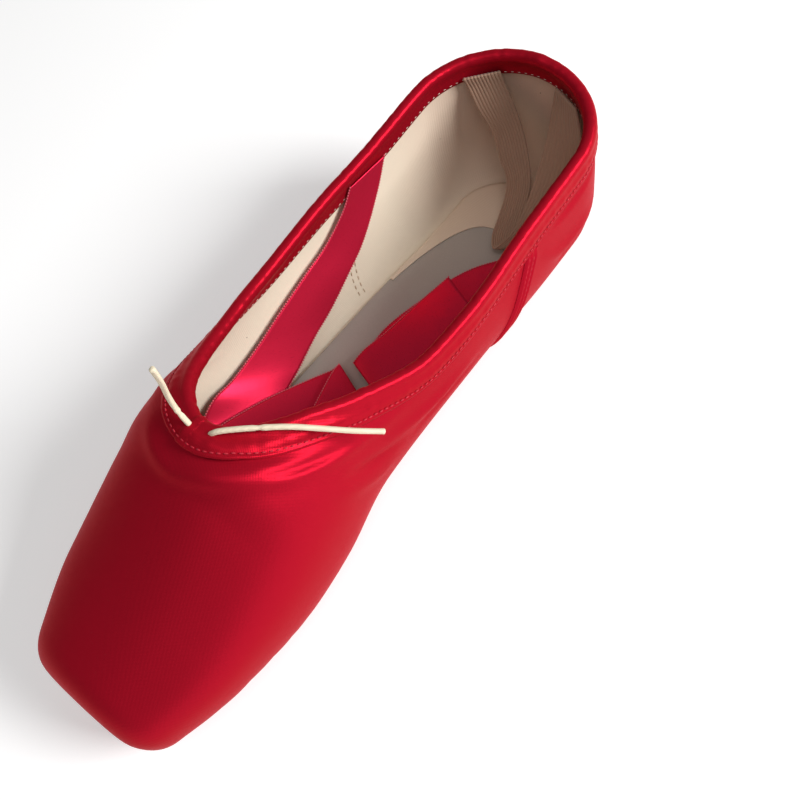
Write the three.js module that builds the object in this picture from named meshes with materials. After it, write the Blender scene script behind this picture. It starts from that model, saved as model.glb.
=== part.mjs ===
// Pointe shoe: a straight-lasted satin upper with a hardened box, open at the collar and
// over the sole, a leather outsole, an insole board, a collar binding with a drawstring,
// two ribbons and an elastic loop.
// Millimetres. The toe points to -Y and +Z is up. Left and right are as seen from the toe,
// so right is +X. The origin is on the floor, under the middle of the shoe.
import * as THREE from "three";
import { mergeVertices } from "three/addons/utils/BufferGeometryUtils.js";

// Driving sizes
const SHOE_LENGTH = 240; // platform to the back of the heel
const PLATFORM_WIDTH = 47.5;
const PLATFORM_HEIGHT = 27.5;
const BALL_WIDTH = 72;
const WAIST_WIDTH = 66;
const HEEL_WIDTH = 64;
const VAMP_LENGTH = 74; // platform to the throat
const INSTEP_HEIGHT = 66; // floor to the top edge at the throat
const SIDE_HEIGHT = 46; // floor to the top edge at the waist
const HEEL_HEIGHT = 55; // floor to the top edge at the back seam
const MOUTH_WIDTH = 64; // across the top edge, behind the waist
const THROAT_WIDTH = 51; // across the top edge, where its rounded front ends
const THROAT_ROUND = 48; // length of the rounded front of the top edge
const HEEL_ROUND = 31; // length of the rounded heel, ahead of its back
const HEEL_LEAN = 2.5; // how far the back seam leans in at its top
const NOSE_ROUND = 8; // how deep the edge of the platform is rounded
const TOE_SPRING = 4; // lift of the sole line under the platform
const ARCH_RISE = 3; // lift of the sole line under the waist
const BOX_WALL = 3; // satin, paste layers and lining together
const QUARTER_WALL = 1.5; // satin and lining together
const GAP = 0.38; // clearance between pieces that lie against each other

const OUTSOLE_THICKNESS = 2.6;
const OUTSOLE_BALL_WIDTH = 50;
const OUTSOLE_WAIST_WIDTH = 30;
const OUTSOLE_HEEL_WIDTH = 42;
const OUTSOLE_TIP = 24; // platform to the outsole's front tip
const OUTSOLE_NOSE = 26; // length over which its front rounds out
const OUTSOLE_HEEL_MARGIN = 10; // back of the heel to the outsole's back edge
const LASTING_MARGIN = 6; // width of satin that the outsole covers

const INSOLE_THICKNESS = 1.8;
const INSOLE_TIP = 16; // platform to the insole's front tip
const INSOLE_NOSE = 20; // length over which its front rounds out
const INSOLE_MARGIN = 1.5; // lower edge of the last to the insole's edge

const BINDING_OUTER_DEPTH = 5.5; // top edge to the line of stitches outside
const BINDING_INNER_DEPTH = 4.5; // top edge to its edge inside
const BINDING_TAPE = 0.7;
const CASING_RADIUS = 2.2; // the roll at the top edge, around the drawstring
const CASING_RISE = 0.5; // how far the roll stands over the top edge
const CASING_FROM = -25; // degrees, where the roll leaves the outer leg: 0 is outwards
const CASING_TO = 205; // degrees, where it meets the inner leg

const SEAM_TAPE_WIDTH = 7;
const SEAM_TAPE = 0.6;
const SEAM_AT_LEFT = 0.725; // tops of the side seams, as shares of the length
const SEAM_AT_RIGHT = 0.75;
const SEAM_SLANT = 0.075; // how much further forward their lower ends are
const SEAM_HEAD = 2.3; // how far their upper end stays under the binding
const SEAM_FOOT = 4; // how far their lower end stays above the edge of the sole

const RIBBON_THICKNESS = 0.5;
const ELASTIC_THICKNESS = 1;
const DRAWSTRING_DIAMETER = 1.6;

// Colours
const RED_SATIN = { color: 0xb0101e, roughness: 0.38, metalness: 0 };
const TAN_LEATHER = { color: 0xb08a5e, roughness: 0.8, metalness: 0 };
const GREY_BOARD = { color: 0x7d7972, roughness: 0.9, metalness: 0 };
const BEIGE_ELASTIC = { color: 0xb99a80, roughness: 0.85, metalness: 0 };
const CREAM_CORD = { color: 0xe6dcc0, roughness: 0.8, metalness: 0 };

const HEEL_AXIS = 1 - HEEL_ROUND / SHOE_LENGTH; // where the heel begins to round
const THROAT = VAMP_LENGTH / SHOE_LENGTH;
const UPPER_FLOOR = OUTSOLE_THICKNESS + GAP; // the satin's height over the sole line
const RIGHT = 1;
const LEFT = -1;

// The last, from platform to back seam. at: share of the length; left and right: half
// widths at the widest line; tuck: how far the lower edge lies in from it; widest: height
// of that line over the sole line; crown: height of the ridge, ahead of the throat.
const LAST = [
  { at: 0, left: 0.5 * PLATFORM_WIDTH, right: 0.5 * PLATFORM_WIDTH, tuck: 0.07 * BALL_WIDTH,
    widest: 0.45 * PLATFORM_HEIGHT, crown: TOE_SPRING + PLATFORM_HEIGHT },
  { at: 0.4 * THROAT, left: 0.46 * BALL_WIDTH, right: 0.455 * BALL_WIDTH, tuck: 0.11 * BALL_WIDTH,
    widest: 0.29 * INSTEP_HEIGHT, crown: 0.66 * INSTEP_HEIGHT },
  { at: 0.8 * THROAT, left: 0.5 * BALL_WIDTH, right: 0.495 * BALL_WIDTH, tuck: 0.12 * BALL_WIDTH,
    widest: 0.34 * INSTEP_HEIGHT, crown: 0.89 * INSTEP_HEIGHT },
  { at: THROAT, left: 0.505 * BALL_WIDTH, right: 0.485 * BALL_WIDTH, tuck: 0.13 * BALL_WIDTH,
    widest: 0.36 * INSTEP_HEIGHT, crown: INSTEP_HEIGHT },
  { at: 0.43, left: 0.49 * BALL_WIDTH, right: 0.42 * BALL_WIDTH, tuck: 0.14 * BALL_WIDTH,
    widest: 0.54 * SIDE_HEIGHT, crown: INSTEP_HEIGHT },
  { at: 0.62, left: 0.525 * WAIST_WIDTH, right: 0.5 * WAIST_WIDTH, tuck: 0.2 * WAIST_WIDTH,
    widest: 0.6 * SIDE_HEIGHT, crown: INSTEP_HEIGHT },
  { at: HEEL_AXIS, left: 0.49 * HEEL_WIDTH, right: 0.52 * HEEL_WIDTH, tuck: 0.18 * HEEL_WIDTH,
    widest: 0.47 * HEEL_HEIGHT, crown: INSTEP_HEIGHT },
  { at: 1, left: HEEL_ROUND, right: HEEL_ROUND, tuck: 0.18 * HEEL_WIDTH,
    widest: 0.43 * HEEL_HEIGHT, crown: INSTEP_HEIGHT },
];

// Height of the sole line over the floor: flat under the ball and under the heel.
const SOLE_LINE = [
  { at: 0, lift: TOE_SPRING },
  { at: 0.1, lift: 0.45 * TOE_SPRING },
  { at: 0.22, lift: 0 },
  { at: 0.4, lift: 0 },
  { at: 0.6, lift: ARCH_RISE },
  { at: 0.8, lift: 0 },
  { at: 1, lift: 0 },
];

// The top edge: half widths and heights on either side, from the throat to the back seam.
const COLLAR = [
  { at: THROAT, left: 0.5 * THROAT_WIDTH, right: 0.48 * THROAT_WIDTH,
    leftHeight: INSTEP_HEIGHT, rightHeight: INSTEP_HEIGHT },
  { at: THROAT + 0.03, left: 0.56 * THROAT_WIDTH, right: 0.48 * THROAT_WIDTH,
    leftHeight: 0.96 * INSTEP_HEIGHT, rightHeight: 0.953 * INSTEP_HEIGHT },
  { at: THROAT + 0.08, left: 0.56 * THROAT_WIDTH, right: 0.49 * THROAT_WIDTH,
    leftHeight: 0.87 * INSTEP_HEIGHT, rightHeight: 0.888 * INSTEP_HEIGHT },
  { at: 0.45, left: 0.46 * MOUTH_WIDTH, right: 0.41 * MOUTH_WIDTH,
    leftHeight: 1.12 * SIDE_HEIGHT, rightHeight: 1.11 * SIDE_HEIGHT },
  { at: 0.55, left: 0.51 * MOUTH_WIDTH, right: 0.48 * MOUTH_WIDTH,
    leftHeight: 1.015 * SIDE_HEIGHT, rightHeight: 0.955 * SIDE_HEIGHT },
  { at: 0.65, left: 0.52 * MOUTH_WIDTH, right: 0.505 * MOUTH_WIDTH,
    leftHeight: 1.03 * SIDE_HEIGHT, rightHeight: 0.985 * SIDE_HEIGHT },
  { at: 0.75, left: 0.505 * MOUTH_WIDTH, right: 0.5 * MOUTH_WIDTH,
    leftHeight: 1.05 * SIDE_HEIGHT, rightHeight: 1.04 * SIDE_HEIGHT },
  { at: HEEL_AXIS, left: 0.48 * MOUTH_WIDTH, right: 0.5 * MOUTH_WIDTH,
    leftHeight: 0.94 * HEEL_HEIGHT, rightHeight: 0.905 * HEEL_HEIGHT },
  { at: 1, left: HEEL_ROUND - HEEL_LEAN, right: HEEL_ROUND - HEEL_LEAN,
    leftHeight: HEEL_HEIGHT, rightHeight: HEEL_HEIGHT },
];

// The outsole's half width behind its rounded front.
const OUTSOLE = [
  { at: 0.1, half: 0.45 * OUTSOLE_BALL_WIDTH },
  { at: 0.26, half: 0.5 * OUTSOLE_BALL_WIDTH },
  { at: 0.58, half: 0.5 * OUTSOLE_WAIST_WIDTH },
  { at: HEEL_AXIS, half: 0.5 * OUTSOLE_HEEL_WIDTH },
  { at: 1, half: HEEL_ROUND - OUTSOLE_HEEL_MARGIN },
];

// The ribbons, as the two edges of each strip, from where they are sewn inside the top edge
// down into the shoe, where they turn back. Shares of half the mouth's width across, of the
// length from the middle, and of the sides' height.
const RIBBON_LEFT = [
  { outer: [-0.919, 0.2058, 1.03], inner: [-0.897, 0.2767, 1.004] },
  { outer: [-0.938, 0.1858, 0.902], inner: [-0.903, 0.25, 0.793] },
  { outer: [-0.963, 0.1437, 0.761], inner: [-0.869, 0.1917, 0.53] },
  { outer: [-0.969, 0.0875, 0.696], inner: [-0.812, 0.1371, 0.443] },
  { outer: [-0.969, 0.0283, 0.63], inner: [-0.781, 0.0875, 0.357] },
  { outer: [-0.969, -0.0292, 0.561], inner: [-0.744, 0.0396, 0.317] },
  { outer: [-0.969, -0.0858, 0.526], inner: [-0.688, -0.01, 0.265] },
  { outer: [-0.969, -0.1208, 0.543], inner: [-0.644, -0.0487, 0.239] },
  { outer: [-0.925, -0.1596, 0.487], inner: [-0.531, -0.0917, 0.222] },
  { outer: [-0.787, -0.1958, 0.443], inner: [-0.359, -0.1333, 0.23] },
  { outer: [-0.625, -0.2125, 0.543], inner: [-0.172, -0.1646, 0.326] },
  { outer: [-0.641, -0.1917, 0.598], inner: [-0.094, -0.1667, 0.413] },
  { outer: [-0.738, -0.15, 0.511], inner: [-0.141, -0.1479, 0.38] },
  { outer: [-0.7, -0.1062, 0.426], inner: [-0.109, -0.1083, 0.317] },
  { outer: [-0.594, -0.0583, 0.357], inner: [-0.047, -0.0625, 0.278] },
  { outer: [-0.453, -0.0125, 0.296], inner: [0.078, -0.0354, 0.257] },
  { outer: [-0.356, 0.0175, 0.257], inner: [0.156, -0.0125, 0.252] },
  { outer: [-0.319, 0.0267, 0.287], inner: [0.169, -0.0025, 0.283] },
  { outer: [-0.287, 0.0108, 0.326], inner: [0.188, -0.0158, 0.326] },
  { outer: [-0.163, -0.05, 0.37], inner: [0.306, -0.0692, 0.37] },
];
const RIBBON_RIGHT = [
  { outer: [0.912, 0.3167, 0.957], inner: [0.912, 0.2375, 0.913] },
  { outer: [0.869, 0.3208, 0.652], inner: [0.881, 0.2375, 0.63] },
  { outer: [0.703, 0.3167, 0.391], inner: [0.75, 0.2375, 0.359] },
  { outer: [0.422, 0.2958, 0.261], inner: [0.625, 0.2208, 0.25] },
  { outer: [0.188, 0.2646, 0.23], inner: [0.547, 0.1917, 0.243] },
  { outer: [0.047, 0.2292, 0.23], inner: [0.484, 0.1729, 0.243] },
  { outer: [-0.078, 0.175, 0.239], inner: [0.484, 0.1375, 0.252] },
  { outer: [-0.188, 0.1125, 0.248], inner: [0.391, 0.0833, 0.248] },
  { outer: [-0.2, 0.0542, 0.239], inner: [0.359, 0.0271, 0.239] },
  { outer: [-0.2, 0.0396, 0.278], inner: [0.359, 0.0104, 0.278] },
  { outer: [-0.169, 0.0583, 0.322], inner: [0.375, 0.0292, 0.322] },
  { outer: [-0.078, 0.1, 0.339], inner: [0.438, 0.0708, 0.357] },
  { outer: [0.016, 0.1542, 0.37], inner: [0.5, 0.125, 0.402] },
  { outer: [0.15, 0.2125, 0.424], inner: [0.581, 0.1837, 0.457] },
];

// The elastic, sewn in on both sides of the back seam and hanging in a loop. Shares of the
// heel's rounding across and back from the heel axis, and of the heel's height.
const HEEL_ELASTIC = [
  { outer: [-0.713, 0.487, 0.916], inner: [-0.394, 0.742, 0.931] },
  { outer: [-0.684, 0.523, 0.836], inner: [-0.355, 0.755, 0.851] },
  { outer: [-0.574, 0.51, 0.716], inner: [-0.232, 0.729, 0.735] },
  { outer: [-0.374, 0.49, 0.556], inner: [-0.052, 0.639, 0.571] },
  { outer: [-0.219, 0.368, 0.444], inner: [0.097, 0.503, 0.451] },
  { outer: [-0.071, 0.277, 0.335], inner: [0.219, 0.342, 0.353] },
  { outer: [-0.026, 0.161, 0.255], inner: [0.271, 0.174, 0.265] },
  { outer: [0.019, -0.058, 0.193], inner: [0.31, -0.019, 0.204] },
  { outer: [0.097, -0.323, 0.169], inner: [0.387, -0.277, 0.175] },
  { outer: [0.226, -0.477, 0.196], inner: [0.523, -0.335, 0.2] },
  { outer: [0.335, -0.297, 0.255], inner: [0.626, -0.065, 0.265] },
  { outer: [0.335, -0.013, 0.309], inner: [0.723, 0.181, 0.364] },
  { outer: [0.303, 0.258, 0.393], inner: [0.781, 0.297, 0.462] },
  { outer: [0.271, 0.503, 0.509], inner: [0.806, 0.394, 0.571] },
  { outer: [0.252, 0.665, 0.629], inner: [0.787, 0.452, 0.68] },
  { outer: [0.239, 0.781, 0.789], inner: [0.703, 0.568, 0.804] },
  { outer: [0.265, 0.8, 0.92], inner: [0.594, 0.652, 0.905] },
];

// The drawstring's two free ends, from the slit at the throat, in millimetres.
const DRAWSTRING_LEFT = [
  [-2.7, -46.3, 67.9], [-4.9, -45.5, 72], [-4.6, -45, 78], [-2.8, -44.6, 84.5], [0, -44.7, 91.5],
  [2.6, -45, 98.6],
];
const DRAWSTRING_RIGHT = [
  [4.7, -45, 68.3], [9, -41, 67.9], [14, -36.6, 66.7], [19.4, -31.8, 64.7], [25, -27, 61.3],
  [30.6, -22, 57.3], [35.6, -16.6, 52.8],
];

// How square the last's sections are above the widest line; 2 is an ellipse.
const SQUARE = 2.35;

// Smooth value of one column of a table at a share of the length, with no overshoot.
function column(table, name, at) {
  const last = table.length - 1;
  if (at <= table[0].at) return table[0][name];
  if (at >= table[last].at) return table[last][name];
  const slope = (i) => (table[i + 1][name] - table[i][name]) / (table[i + 1].at - table[i].at);
  const tangent = (i) => {
    if (i === 0) return slope(0);
    if (i === last) return slope(last - 1);
    const before = slope(i - 1);
    const after = slope(i);
    return before * after <= 0 ? 0 : (2 * before * after) / (before + after);
  };
  const i = table.findIndex((row) => row.at > at) - 1;
  const width = table[i + 1].at - table[i].at;
  const t = (at - table[i].at) / width;
  const rise = table[i + 1][name] - table[i][name];
  const first = tangent(i) * width;
  const second = tangent(i + 1) * width;
  return table[i][name] + first * t + (3 * rise - 2 * first - second) * t * t
    + (first + second - 2 * rise) * t * t * t;
}

// Rounds out from 0 to 1 like a quarter of an ellipse.
function quarterRound(t) {
  return Math.sqrt(1 - Math.pow(1 - THREE.MathUtils.clamp(t, 0, 1), 2));
}

// Where a section of the shoe stands, and which way it faces. Past the heel axis the
// sections fan out around it, up to the back seam.
function station(at) {
  const fan = Math.max(0, (at - HEEL_AXIS) / (1 - HEEL_AXIS)) * (Math.PI / 2);
  return {
    y: (Math.min(at, HEEL_AXIS) - 0.5) * SHOE_LENGTH,
    out: Math.cos(fan),
    back: Math.sin(fan),
  };
}

// The last's section on one side at a station, as sizes.
function section(side, at) {
  const name = side > 0 ? "right" : "left";
  const near = Math.min(1, (at * SHOE_LENGTH) / NOSE_ROUND);
  const inset = NOSE_ROUND * (1 - Math.pow(1 - Math.pow(1 - near, 2.4), 1 / 2.4));
  const floor = column(SOLE_LINE, "lift", at) + UPPER_FLOOR;
  const half = column(LAST, name, at);
  const widest = floor + column(LAST, "widest", at) - UPPER_FLOOR;
  const edge = {
    half: column(COLLAR, name, at) * quarterRound(((at - THROAT) * SHOE_LENGTH) / THROAT_ROUND),
    height: column(COLLAR, name + "Height", at),
  };
  // Behind the throat, the ridge is as high as makes the section pass through the top edge.
  const cosine = Math.pow(Math.min(edge.half / half, 0.999), SQUARE / 2);
  const sine = Math.sqrt(1 - cosine * cosine);
  return {
    half: half - inset,
    feather: half - column(LAST, "tuck", at) - 0.5 * inset,
    floor: floor + 0.6 * inset,
    widest: widest + 0.6 * inset,
    crown: at <= THROAT ? column(LAST, "crown", at) - inset
      : widest + (edge.height - widest) / Math.pow(sine, 2 / SQUARE),
    collarTurn: at <= THROAT ? 2 : 1 + Math.atan2(sine, cosine) / (Math.PI / 2),
  };
}

// A point of the last's surface. turn: -1 at the middle of the sole, 0 at the lower edge,
// 1 at the widest line and 2 at the ridge.
function lastPoint(side, at, turn) {
  const { y, out, back } = station(at);
  const s = section(side, at);
  let reach = s.feather * (1 + turn);
  let height = s.floor;
  if (turn > 1) {
    const angle = (turn - 1) * (Math.PI / 2);
    reach = s.half * Math.pow(Math.max(0, Math.cos(angle)), 2 / SQUARE);
    height = s.widest + (s.crown - s.widest) * Math.pow(Math.sin(angle), 2 / SQUARE);
  } else if (turn > 0) {
    const angle = turn * (Math.PI / 2);
    reach = s.feather + (s.half - s.feather) * Math.sin(angle);
    height = s.floor + (s.widest - s.floor) * (1 - Math.cos(angle));
  }
  return new THREE.Vector3(side * reach * out, y + reach * back, height);
}

// How far outside the last a point is: 0 on its surface, and growing outwards.
function outside(p) {
  const side = p.x < 0 ? LEFT : RIGHT;
  const behind = p.y - station(HEEL_AXIS).y;
  const fan = behind > 0 ? Math.atan2(behind, Math.abs(p.x)) / (Math.PI / 2) : 0;
  const at = behind > 0 ? HEEL_AXIS + fan * (1 - HEEL_AXIS) : p.y / SHOE_LENGTH + 0.5;
  const reach = behind > 0 ? Math.hypot(p.x, behind) : Math.abs(p.x);
  const s = section(side, at);
  if (p.z > s.widest) {
    const up = (p.z - s.widest) / (s.crown - s.widest);
    return Math.pow(reach / s.half, SQUARE) + Math.pow(up, SQUARE) - 1;
  }
  const across = Math.max(0, reach - s.feather) / (s.half - s.feather);
  return across * across + Math.pow((s.widest - p.z) / (s.widest - s.floor), 2) - 1;
}

function slopeOutside(p) {
  const step = 0.01;
  const along = (axis) => {
    const ahead = p.clone();
    const before = p.clone();
    ahead[axis] += step;
    before[axis] -= step;
    return (outside(ahead) - outside(before)) / (2 * step);
  };
  return new THREE.Vector3(along("x"), along("y"), along("z"));
}

// Moves a point onto the last's surface, and returns it with the surface's outward normal.
function settle(p) {
  const at = p.clone();
  for (let i = 0; i < 6; i++) {
    const slope = slopeOutside(at);
    at.addScaledVector(slope, -outside(at) / slope.lengthSq());
  }
  return { point: at, normal: slopeOutside(at).normalize() };
}

// Evenly spaced values from one to another, the ends included.
function spaced(from, to, steps) {
  return Array.from({ length: steps + 1 }, (_, i) => from + ((to - from) * i) / steps);
}

// Welds equal vertices of a list of triangles, drops flat ones, and returns an indexed geometry.
function weld(triangles) {
  const loose = new THREE.BufferGeometry().setAttribute(
    "position",
    new THREE.Float32BufferAttribute(triangles.flatMap((t) => t.flatMap((p) => [p.x, p.y, p.z])), 3),
  );
  const merged = mergeVertices(loose, 2e-3);
  const index = [];
  for (let i = 0; i < merged.index.count; i += 3) {
    const [a, b, c] = [0, 1, 2].map((k) => merged.index.getX(i + k));
    if (a !== b && b !== c && a !== c) index.push(a, b, c);
  }
  return merged.setIndex(index);
}

// The triangles of a grid of points, rows of equal length, facing one way or the other.
function grid(rows, flip = false) {
  const made = [];
  for (let i = 0; i + 1 < rows.length; i++) {
    for (let j = 0; j + 1 < rows[i].length; j++) {
      const [a, b, c, d] = [rows[i][j], rows[i][j + 1], rows[i + 1][j + 1], rows[i + 1][j]];
      made.push(flip ? [a, b, c] : [a, c, b], flip ? [a, c, d] : [a, d, c]);
    }
  }
  return made;
}

// Gives an open surface a thickness inwards, and closes its free edges.
function shell(triangles, thickness) {
  const surface = weld(triangles);
  surface.computeVertexNormals();
  const place = surface.attributes.position;
  const outer = [];
  const inner = [];
  for (let i = 0; i < place.count; i++) {
    const p = new THREE.Vector3().fromBufferAttribute(place, i);
    const n = new THREE.Vector3().fromBufferAttribute(surface.attributes.normal, i);
    outer.push(p);
    inner.push(p.clone().addScaledVector(n, -thickness(p)));
  }
  const made = [];
  const edges = new Map();
  for (let i = 0; i < surface.index.count; i += 3) {
    const corners = [0, 1, 2].map((k) => surface.index.getX(i + k));
    made.push(corners.map((k) => outer[k]), [...corners].reverse().map((k) => inner[k]));
    corners.forEach((a, k) => {
      const b = corners[(k + 1) % 3];
      if (!edges.delete(`${b},${a}`)) edges.set(`${a},${b}`, [a, b]);
    });
  }
  for (const [a, b] of edges.values()) {
    made.push([outer[b], outer[a], inner[a]], [outer[b], inner[a], inner[b]]);
  }
  return weld(made);
}

// A closed solid from rings of points, one after another; a loop's last ring joins its first.
function loft(rings, loop = false) {
  const closed = rings.map((ring) => [...ring, ring[0]]);
  if (loop) return weld(grid([...closed, closed[0]]));
  const cap = (ring) => {
    const middle = ring.reduce((sum, p) => sum.addScaledVector(p, 1 / ring.length), new THREE.Vector3());
    return ring.map((p, i) => [middle, p, ring[(i + 1) % ring.length]]);
  };
  const back = cap([...rings.at(-1)].reverse());
  return weld([...grid(closed), ...cap(rings[0]), ...back]);
}

function named(name, geometry, { color, roughness, metalness }) {
  geometry.deleteAttribute("normal");
  geometry.computeVertexNormals();
  const mesh = new THREE.Mesh(geometry, new THREE.MeshStandardMaterial({ color, roughness, metalness }));
  mesh.name = name;
  return mesh;
}

// The upper's thickness: the hardened box in front, thinning out before the throat.
function wallAt(at) {
  const thinning = THREE.MathUtils.smoothstep(at, 0.4 * THROAT, 0.8 * THROAT);
  return BOX_WALL + (QUARTER_WALL - BOX_WALL) * thinning;
}

// The stations behind the throat: close together where the top edge rounds.
function collarStations() {
  const front = [0, 0.012, 0.05, 0.11, 0.2, 0.32, 0.47, 0.65, 0.82, 1];
  return [
    ...front.map((share) => THROAT + (share * THROAT_ROUND) / SHOE_LENGTH),
    ...spaced(THROAT + THROAT_ROUND / SHOE_LENGTH, HEEL_AXIS, 13).slice(1),
    ...spaced(HEEL_AXIS, 1, 8).slice(1),
  ];
}

function makeUpper() {
  const nose = NOSE_ROUND / SHOE_LENGTH;
  const stations = [
    ...[0, 0.06, 0.2, 0.45, 0.75].map((share) => share * nose),
    ...spaced(nose, 0.82 * THROAT, 6).slice(0, -1),
    ...spaced(0.82 * THROAT, THROAT, 5).slice(0, -1),
    ...collarStations(),
  ];
  const row = (side, at) => {
    const s = section(side, at);
    const margin = outsoleHalf(at, LASTING_MARGIN) / s.feather - 1;
    const rise = spaced(0, 1, 7)
      .slice(1)
      .map((share) => 1 + (s.collarTurn - 1) * (1 - Math.pow(1 - share, 1.6)));
    const turns = [...spaced(margin, 0, 2), ...spaced(0, 1, 4).slice(1), ...rise];
    return turns.map((turn) => lastPoint(side, at, turn));
  };
  const right = stations.map((at) => row(RIGHT, at));
  const left = stations.map((at) => row(LEFT, at));
  const ring = [...right[0], ...[...left[0]].reverse()];
  const middle = new THREE.Vector3();
  ring.forEach((p) => middle.addScaledVector(p, 1 / ring.length));
  const platform = ring.map((p, i) => [middle, p, ring[(i + 1) % ring.length]]);
  const surface = [...grid(right), ...grid(left, true), ...platform];
  return named("upper", shell(surface, (p) => wallAt(p.y / SHOE_LENGTH + 0.5)), RED_SATIN);
}

// The outsole's half width at a station, 0 ahead of its tip.
function outsoleHalf(at, inset = 0) {
  const fromTip = (at * SHOE_LENGTH - OUTSOLE_TIP - inset) / (OUTSOLE_NOSE - inset);
  return Math.max(0, column(OUTSOLE, "half", at) - inset) * quarterRound(fromTip);
}

// A board that follows the sole line. half and under give its half width and the height of
// its lower face over the sole line, at a station.
function board(tip, nose, half, under, thickness) {
  const front = [0, 0.02, 0.08, 0.2, 0.36, 0.55, 0.77, 1];
  const rounded = front.map((share) => (tip + share * nose) / SHOE_LENGTH);
  const stations = [
    ...rounded,
    ...spaced(rounded.at(-1), HEEL_AXIS, 14).slice(1),
    ...spaced(HEEL_AXIS, 1, 8).slice(1),
  ];
  const face = (side, rise) =>
    stations.map((at) =>
      [0, 0.5, 1].map((share) => {
        const { y, out, back } = station(at);
        const reach = share * half(side, at);
        const height = column(SOLE_LINE, "lift", at) + under(at) + rise;
        return new THREE.Vector3(side * reach * out, y + reach * back, height);
      }),
    );
  const rim = (side) => {
    const [low, high] = [face(side, 0), face(side, thickness)];
    return stations.map((_, i) => [low[i].at(-1), high[i].at(-1)]);
  };
  return weld([
    ...grid(face(RIGHT, 0)),
    ...grid(face(LEFT, 0), true),
    ...grid(face(RIGHT, thickness), true),
    ...grid(face(LEFT, thickness)),
    ...grid(rim(RIGHT)),
    ...grid(rim(LEFT), true),
  ]);
}

function makeOutsole() {
  const half = (side, at) => outsoleHalf(at);
  const outsole = board(OUTSOLE_TIP, OUTSOLE_NOSE, half, () => 0, OUTSOLE_THICKNESS);
  return named("outsole", outsole, TAN_LEATHER);
}

// The insole lies on the lasting margin inside, and reaches nearly to the walls.
function makeInsole() {
  const half = (side, at) =>
    (section(side, at).feather - INSOLE_MARGIN)
    * quarterRound((at * SHOE_LENGTH - INSOLE_TIP) / INSOLE_NOSE);
  const under = (at) => UPPER_FLOOR + wallAt(at) + GAP;
  const insole = board(INSOLE_TIP, INSOLE_NOSE, half, under, INSOLE_THICKNESS);
  return named("insole", insole, GREY_BOARD);
}

// The top edge as a loop: from the throat along the right, round the heel and back on the left.
function collarLoop() {
  const stations = collarStations();
  const edge = (side) => stations.map((at) => lastPoint(side, at, section(side, at).collarTurn));
  return [...edge(RIGHT), ...edge(LEFT).reverse().slice(1, -1)];
}

// Steps down the last's surface from a point of the top edge, square to that edge.
function walkDown(edge, along, depths) {
  let here = settle(edge);
  const down = new THREE.Vector3().crossVectors(along, here.normal).normalize();
  const stride = 1.6;
  let walked = 0;
  return depths.map((depth) => {
    const steps = Math.ceil(Math.abs(depth - walked) / stride);
    for (let i = 0; i < steps; i++) {
      here = settle(here.point.clone().addScaledVector(down, (depth - walked) / steps));
      down.addScaledVector(here.normal, -down.dot(here.normal)).normalize();
    }
    walked = depth;
    return { ...here, down: down.clone() };
  });
}

// The binding's section at each point of the top edge: a leg outside, a roll over the
// edge that holds the drawstring, and a leg inside.
function makeBinding() {
  const edge = collarLoop();
  const rings = edge.map((p, i) => {
    const along = edge[(i + 1) % edge.length].clone().sub(edge.at(i - 1)).normalize();
    const leg = (depth, shares) => walkDown(p, along, shares.map((share) => share * depth));
    const outer = leg(BINDING_OUTER_DEPTH, [0, 0.3, 0.62, 1]);
    const inner = leg(BINDING_INNER_DEPTH, [0, 0.5, 1]);
    const off = ({ point, normal }, distance) => point.clone().addScaledVector(normal, distance);
    const { point, normal, down } = outer[0];
    const middle = off(outer[0], -QUARTER_WALL / 2).addScaledVector(down, CASING_RISE - CASING_RADIUS);
    const roll = spaced(CASING_FROM, CASING_TO, 7).map((degrees) => {
      const angle = THREE.MathUtils.degToRad(degrees);
      return middle.clone().addScaledVector(normal, Math.cos(angle) * CASING_RADIUS)
        .addScaledVector(down, -Math.sin(angle) * CASING_RADIUS);
    });
    const inside = -QUARTER_WALL - GAP;
    return [
      ...outer.slice(1).reverse().map((q) => off(q, GAP + BINDING_TAPE)),
      ...roll,
      ...inner.slice(1).map((q) => off(q, inside - BINDING_TAPE)),
      ...inner.slice(1).reverse().map((q) => off(q, inside)),
      off(inner[0], inside).addScaledVector(down, -2 * GAP),
      off(outer[0], GAP).addScaledVector(down, -2 * GAP),
      ...outer.slice(1).map((q) => off(q, GAP)),
    ];
  });
  return named("collar_binding", loft(rings, true), RED_SATIN);
}

// A seam's raised strip: it runs down the last's surface along a row of points.
function seamTape(name, points) {
  const half = SEAM_TAPE_WIDTH / 2;
  const rows = points.map((p, i) => {
    const next = points[Math.min(i + 1, points.length - 1)];
    const along = next.clone().sub(points[Math.max(i - 1, 0)]).normalize();
    const { point, normal } = settle(p);
    const across = new THREE.Vector3().crossVectors(normal, along).normalize();
    return [half, 0, -half].map((reach) => {
      const q = settle(point.clone().addScaledVector(across, reach));
      return q.point.addScaledVector(q.normal, GAP + SEAM_TAPE);
    });
  });
  return named(name, shell(grid(rows), () => SEAM_TAPE), RED_SATIN);
}

// The turn at which the section at a station reaches a height.
function turnAt(side, at, height) {
  const s = section(side, at);
  if (height < s.widest) {
    return Math.acos(1 - (height - s.floor) / (s.widest - s.floor)) / (Math.PI / 2);
  }
  const rise = (height - s.widest) / (s.crown - s.widest);
  return 1 + Math.asin(Math.pow(rise, SQUARE / 2)) / (Math.PI / 2);
}

function makeSideSeam(name, side) {
  const head = side > 0 ? SEAM_AT_RIGHT : SEAM_AT_LEFT;
  const edge = column(COLLAR, side > 0 ? "rightHeight" : "leftHeight", head);
  const top = edge - BINDING_OUTER_DEPTH - SEAM_HEAD;
  const foot = UPPER_FLOOR + SEAM_FOOT;
  const rows = spaced(0, 1, 9).map((share) => {
    const at = head - SEAM_SLANT * share;
    return lastPoint(side, at, turnAt(side, at, top + (foot - top) * share));
  });
  return seamTape(name, rows);
}

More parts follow.
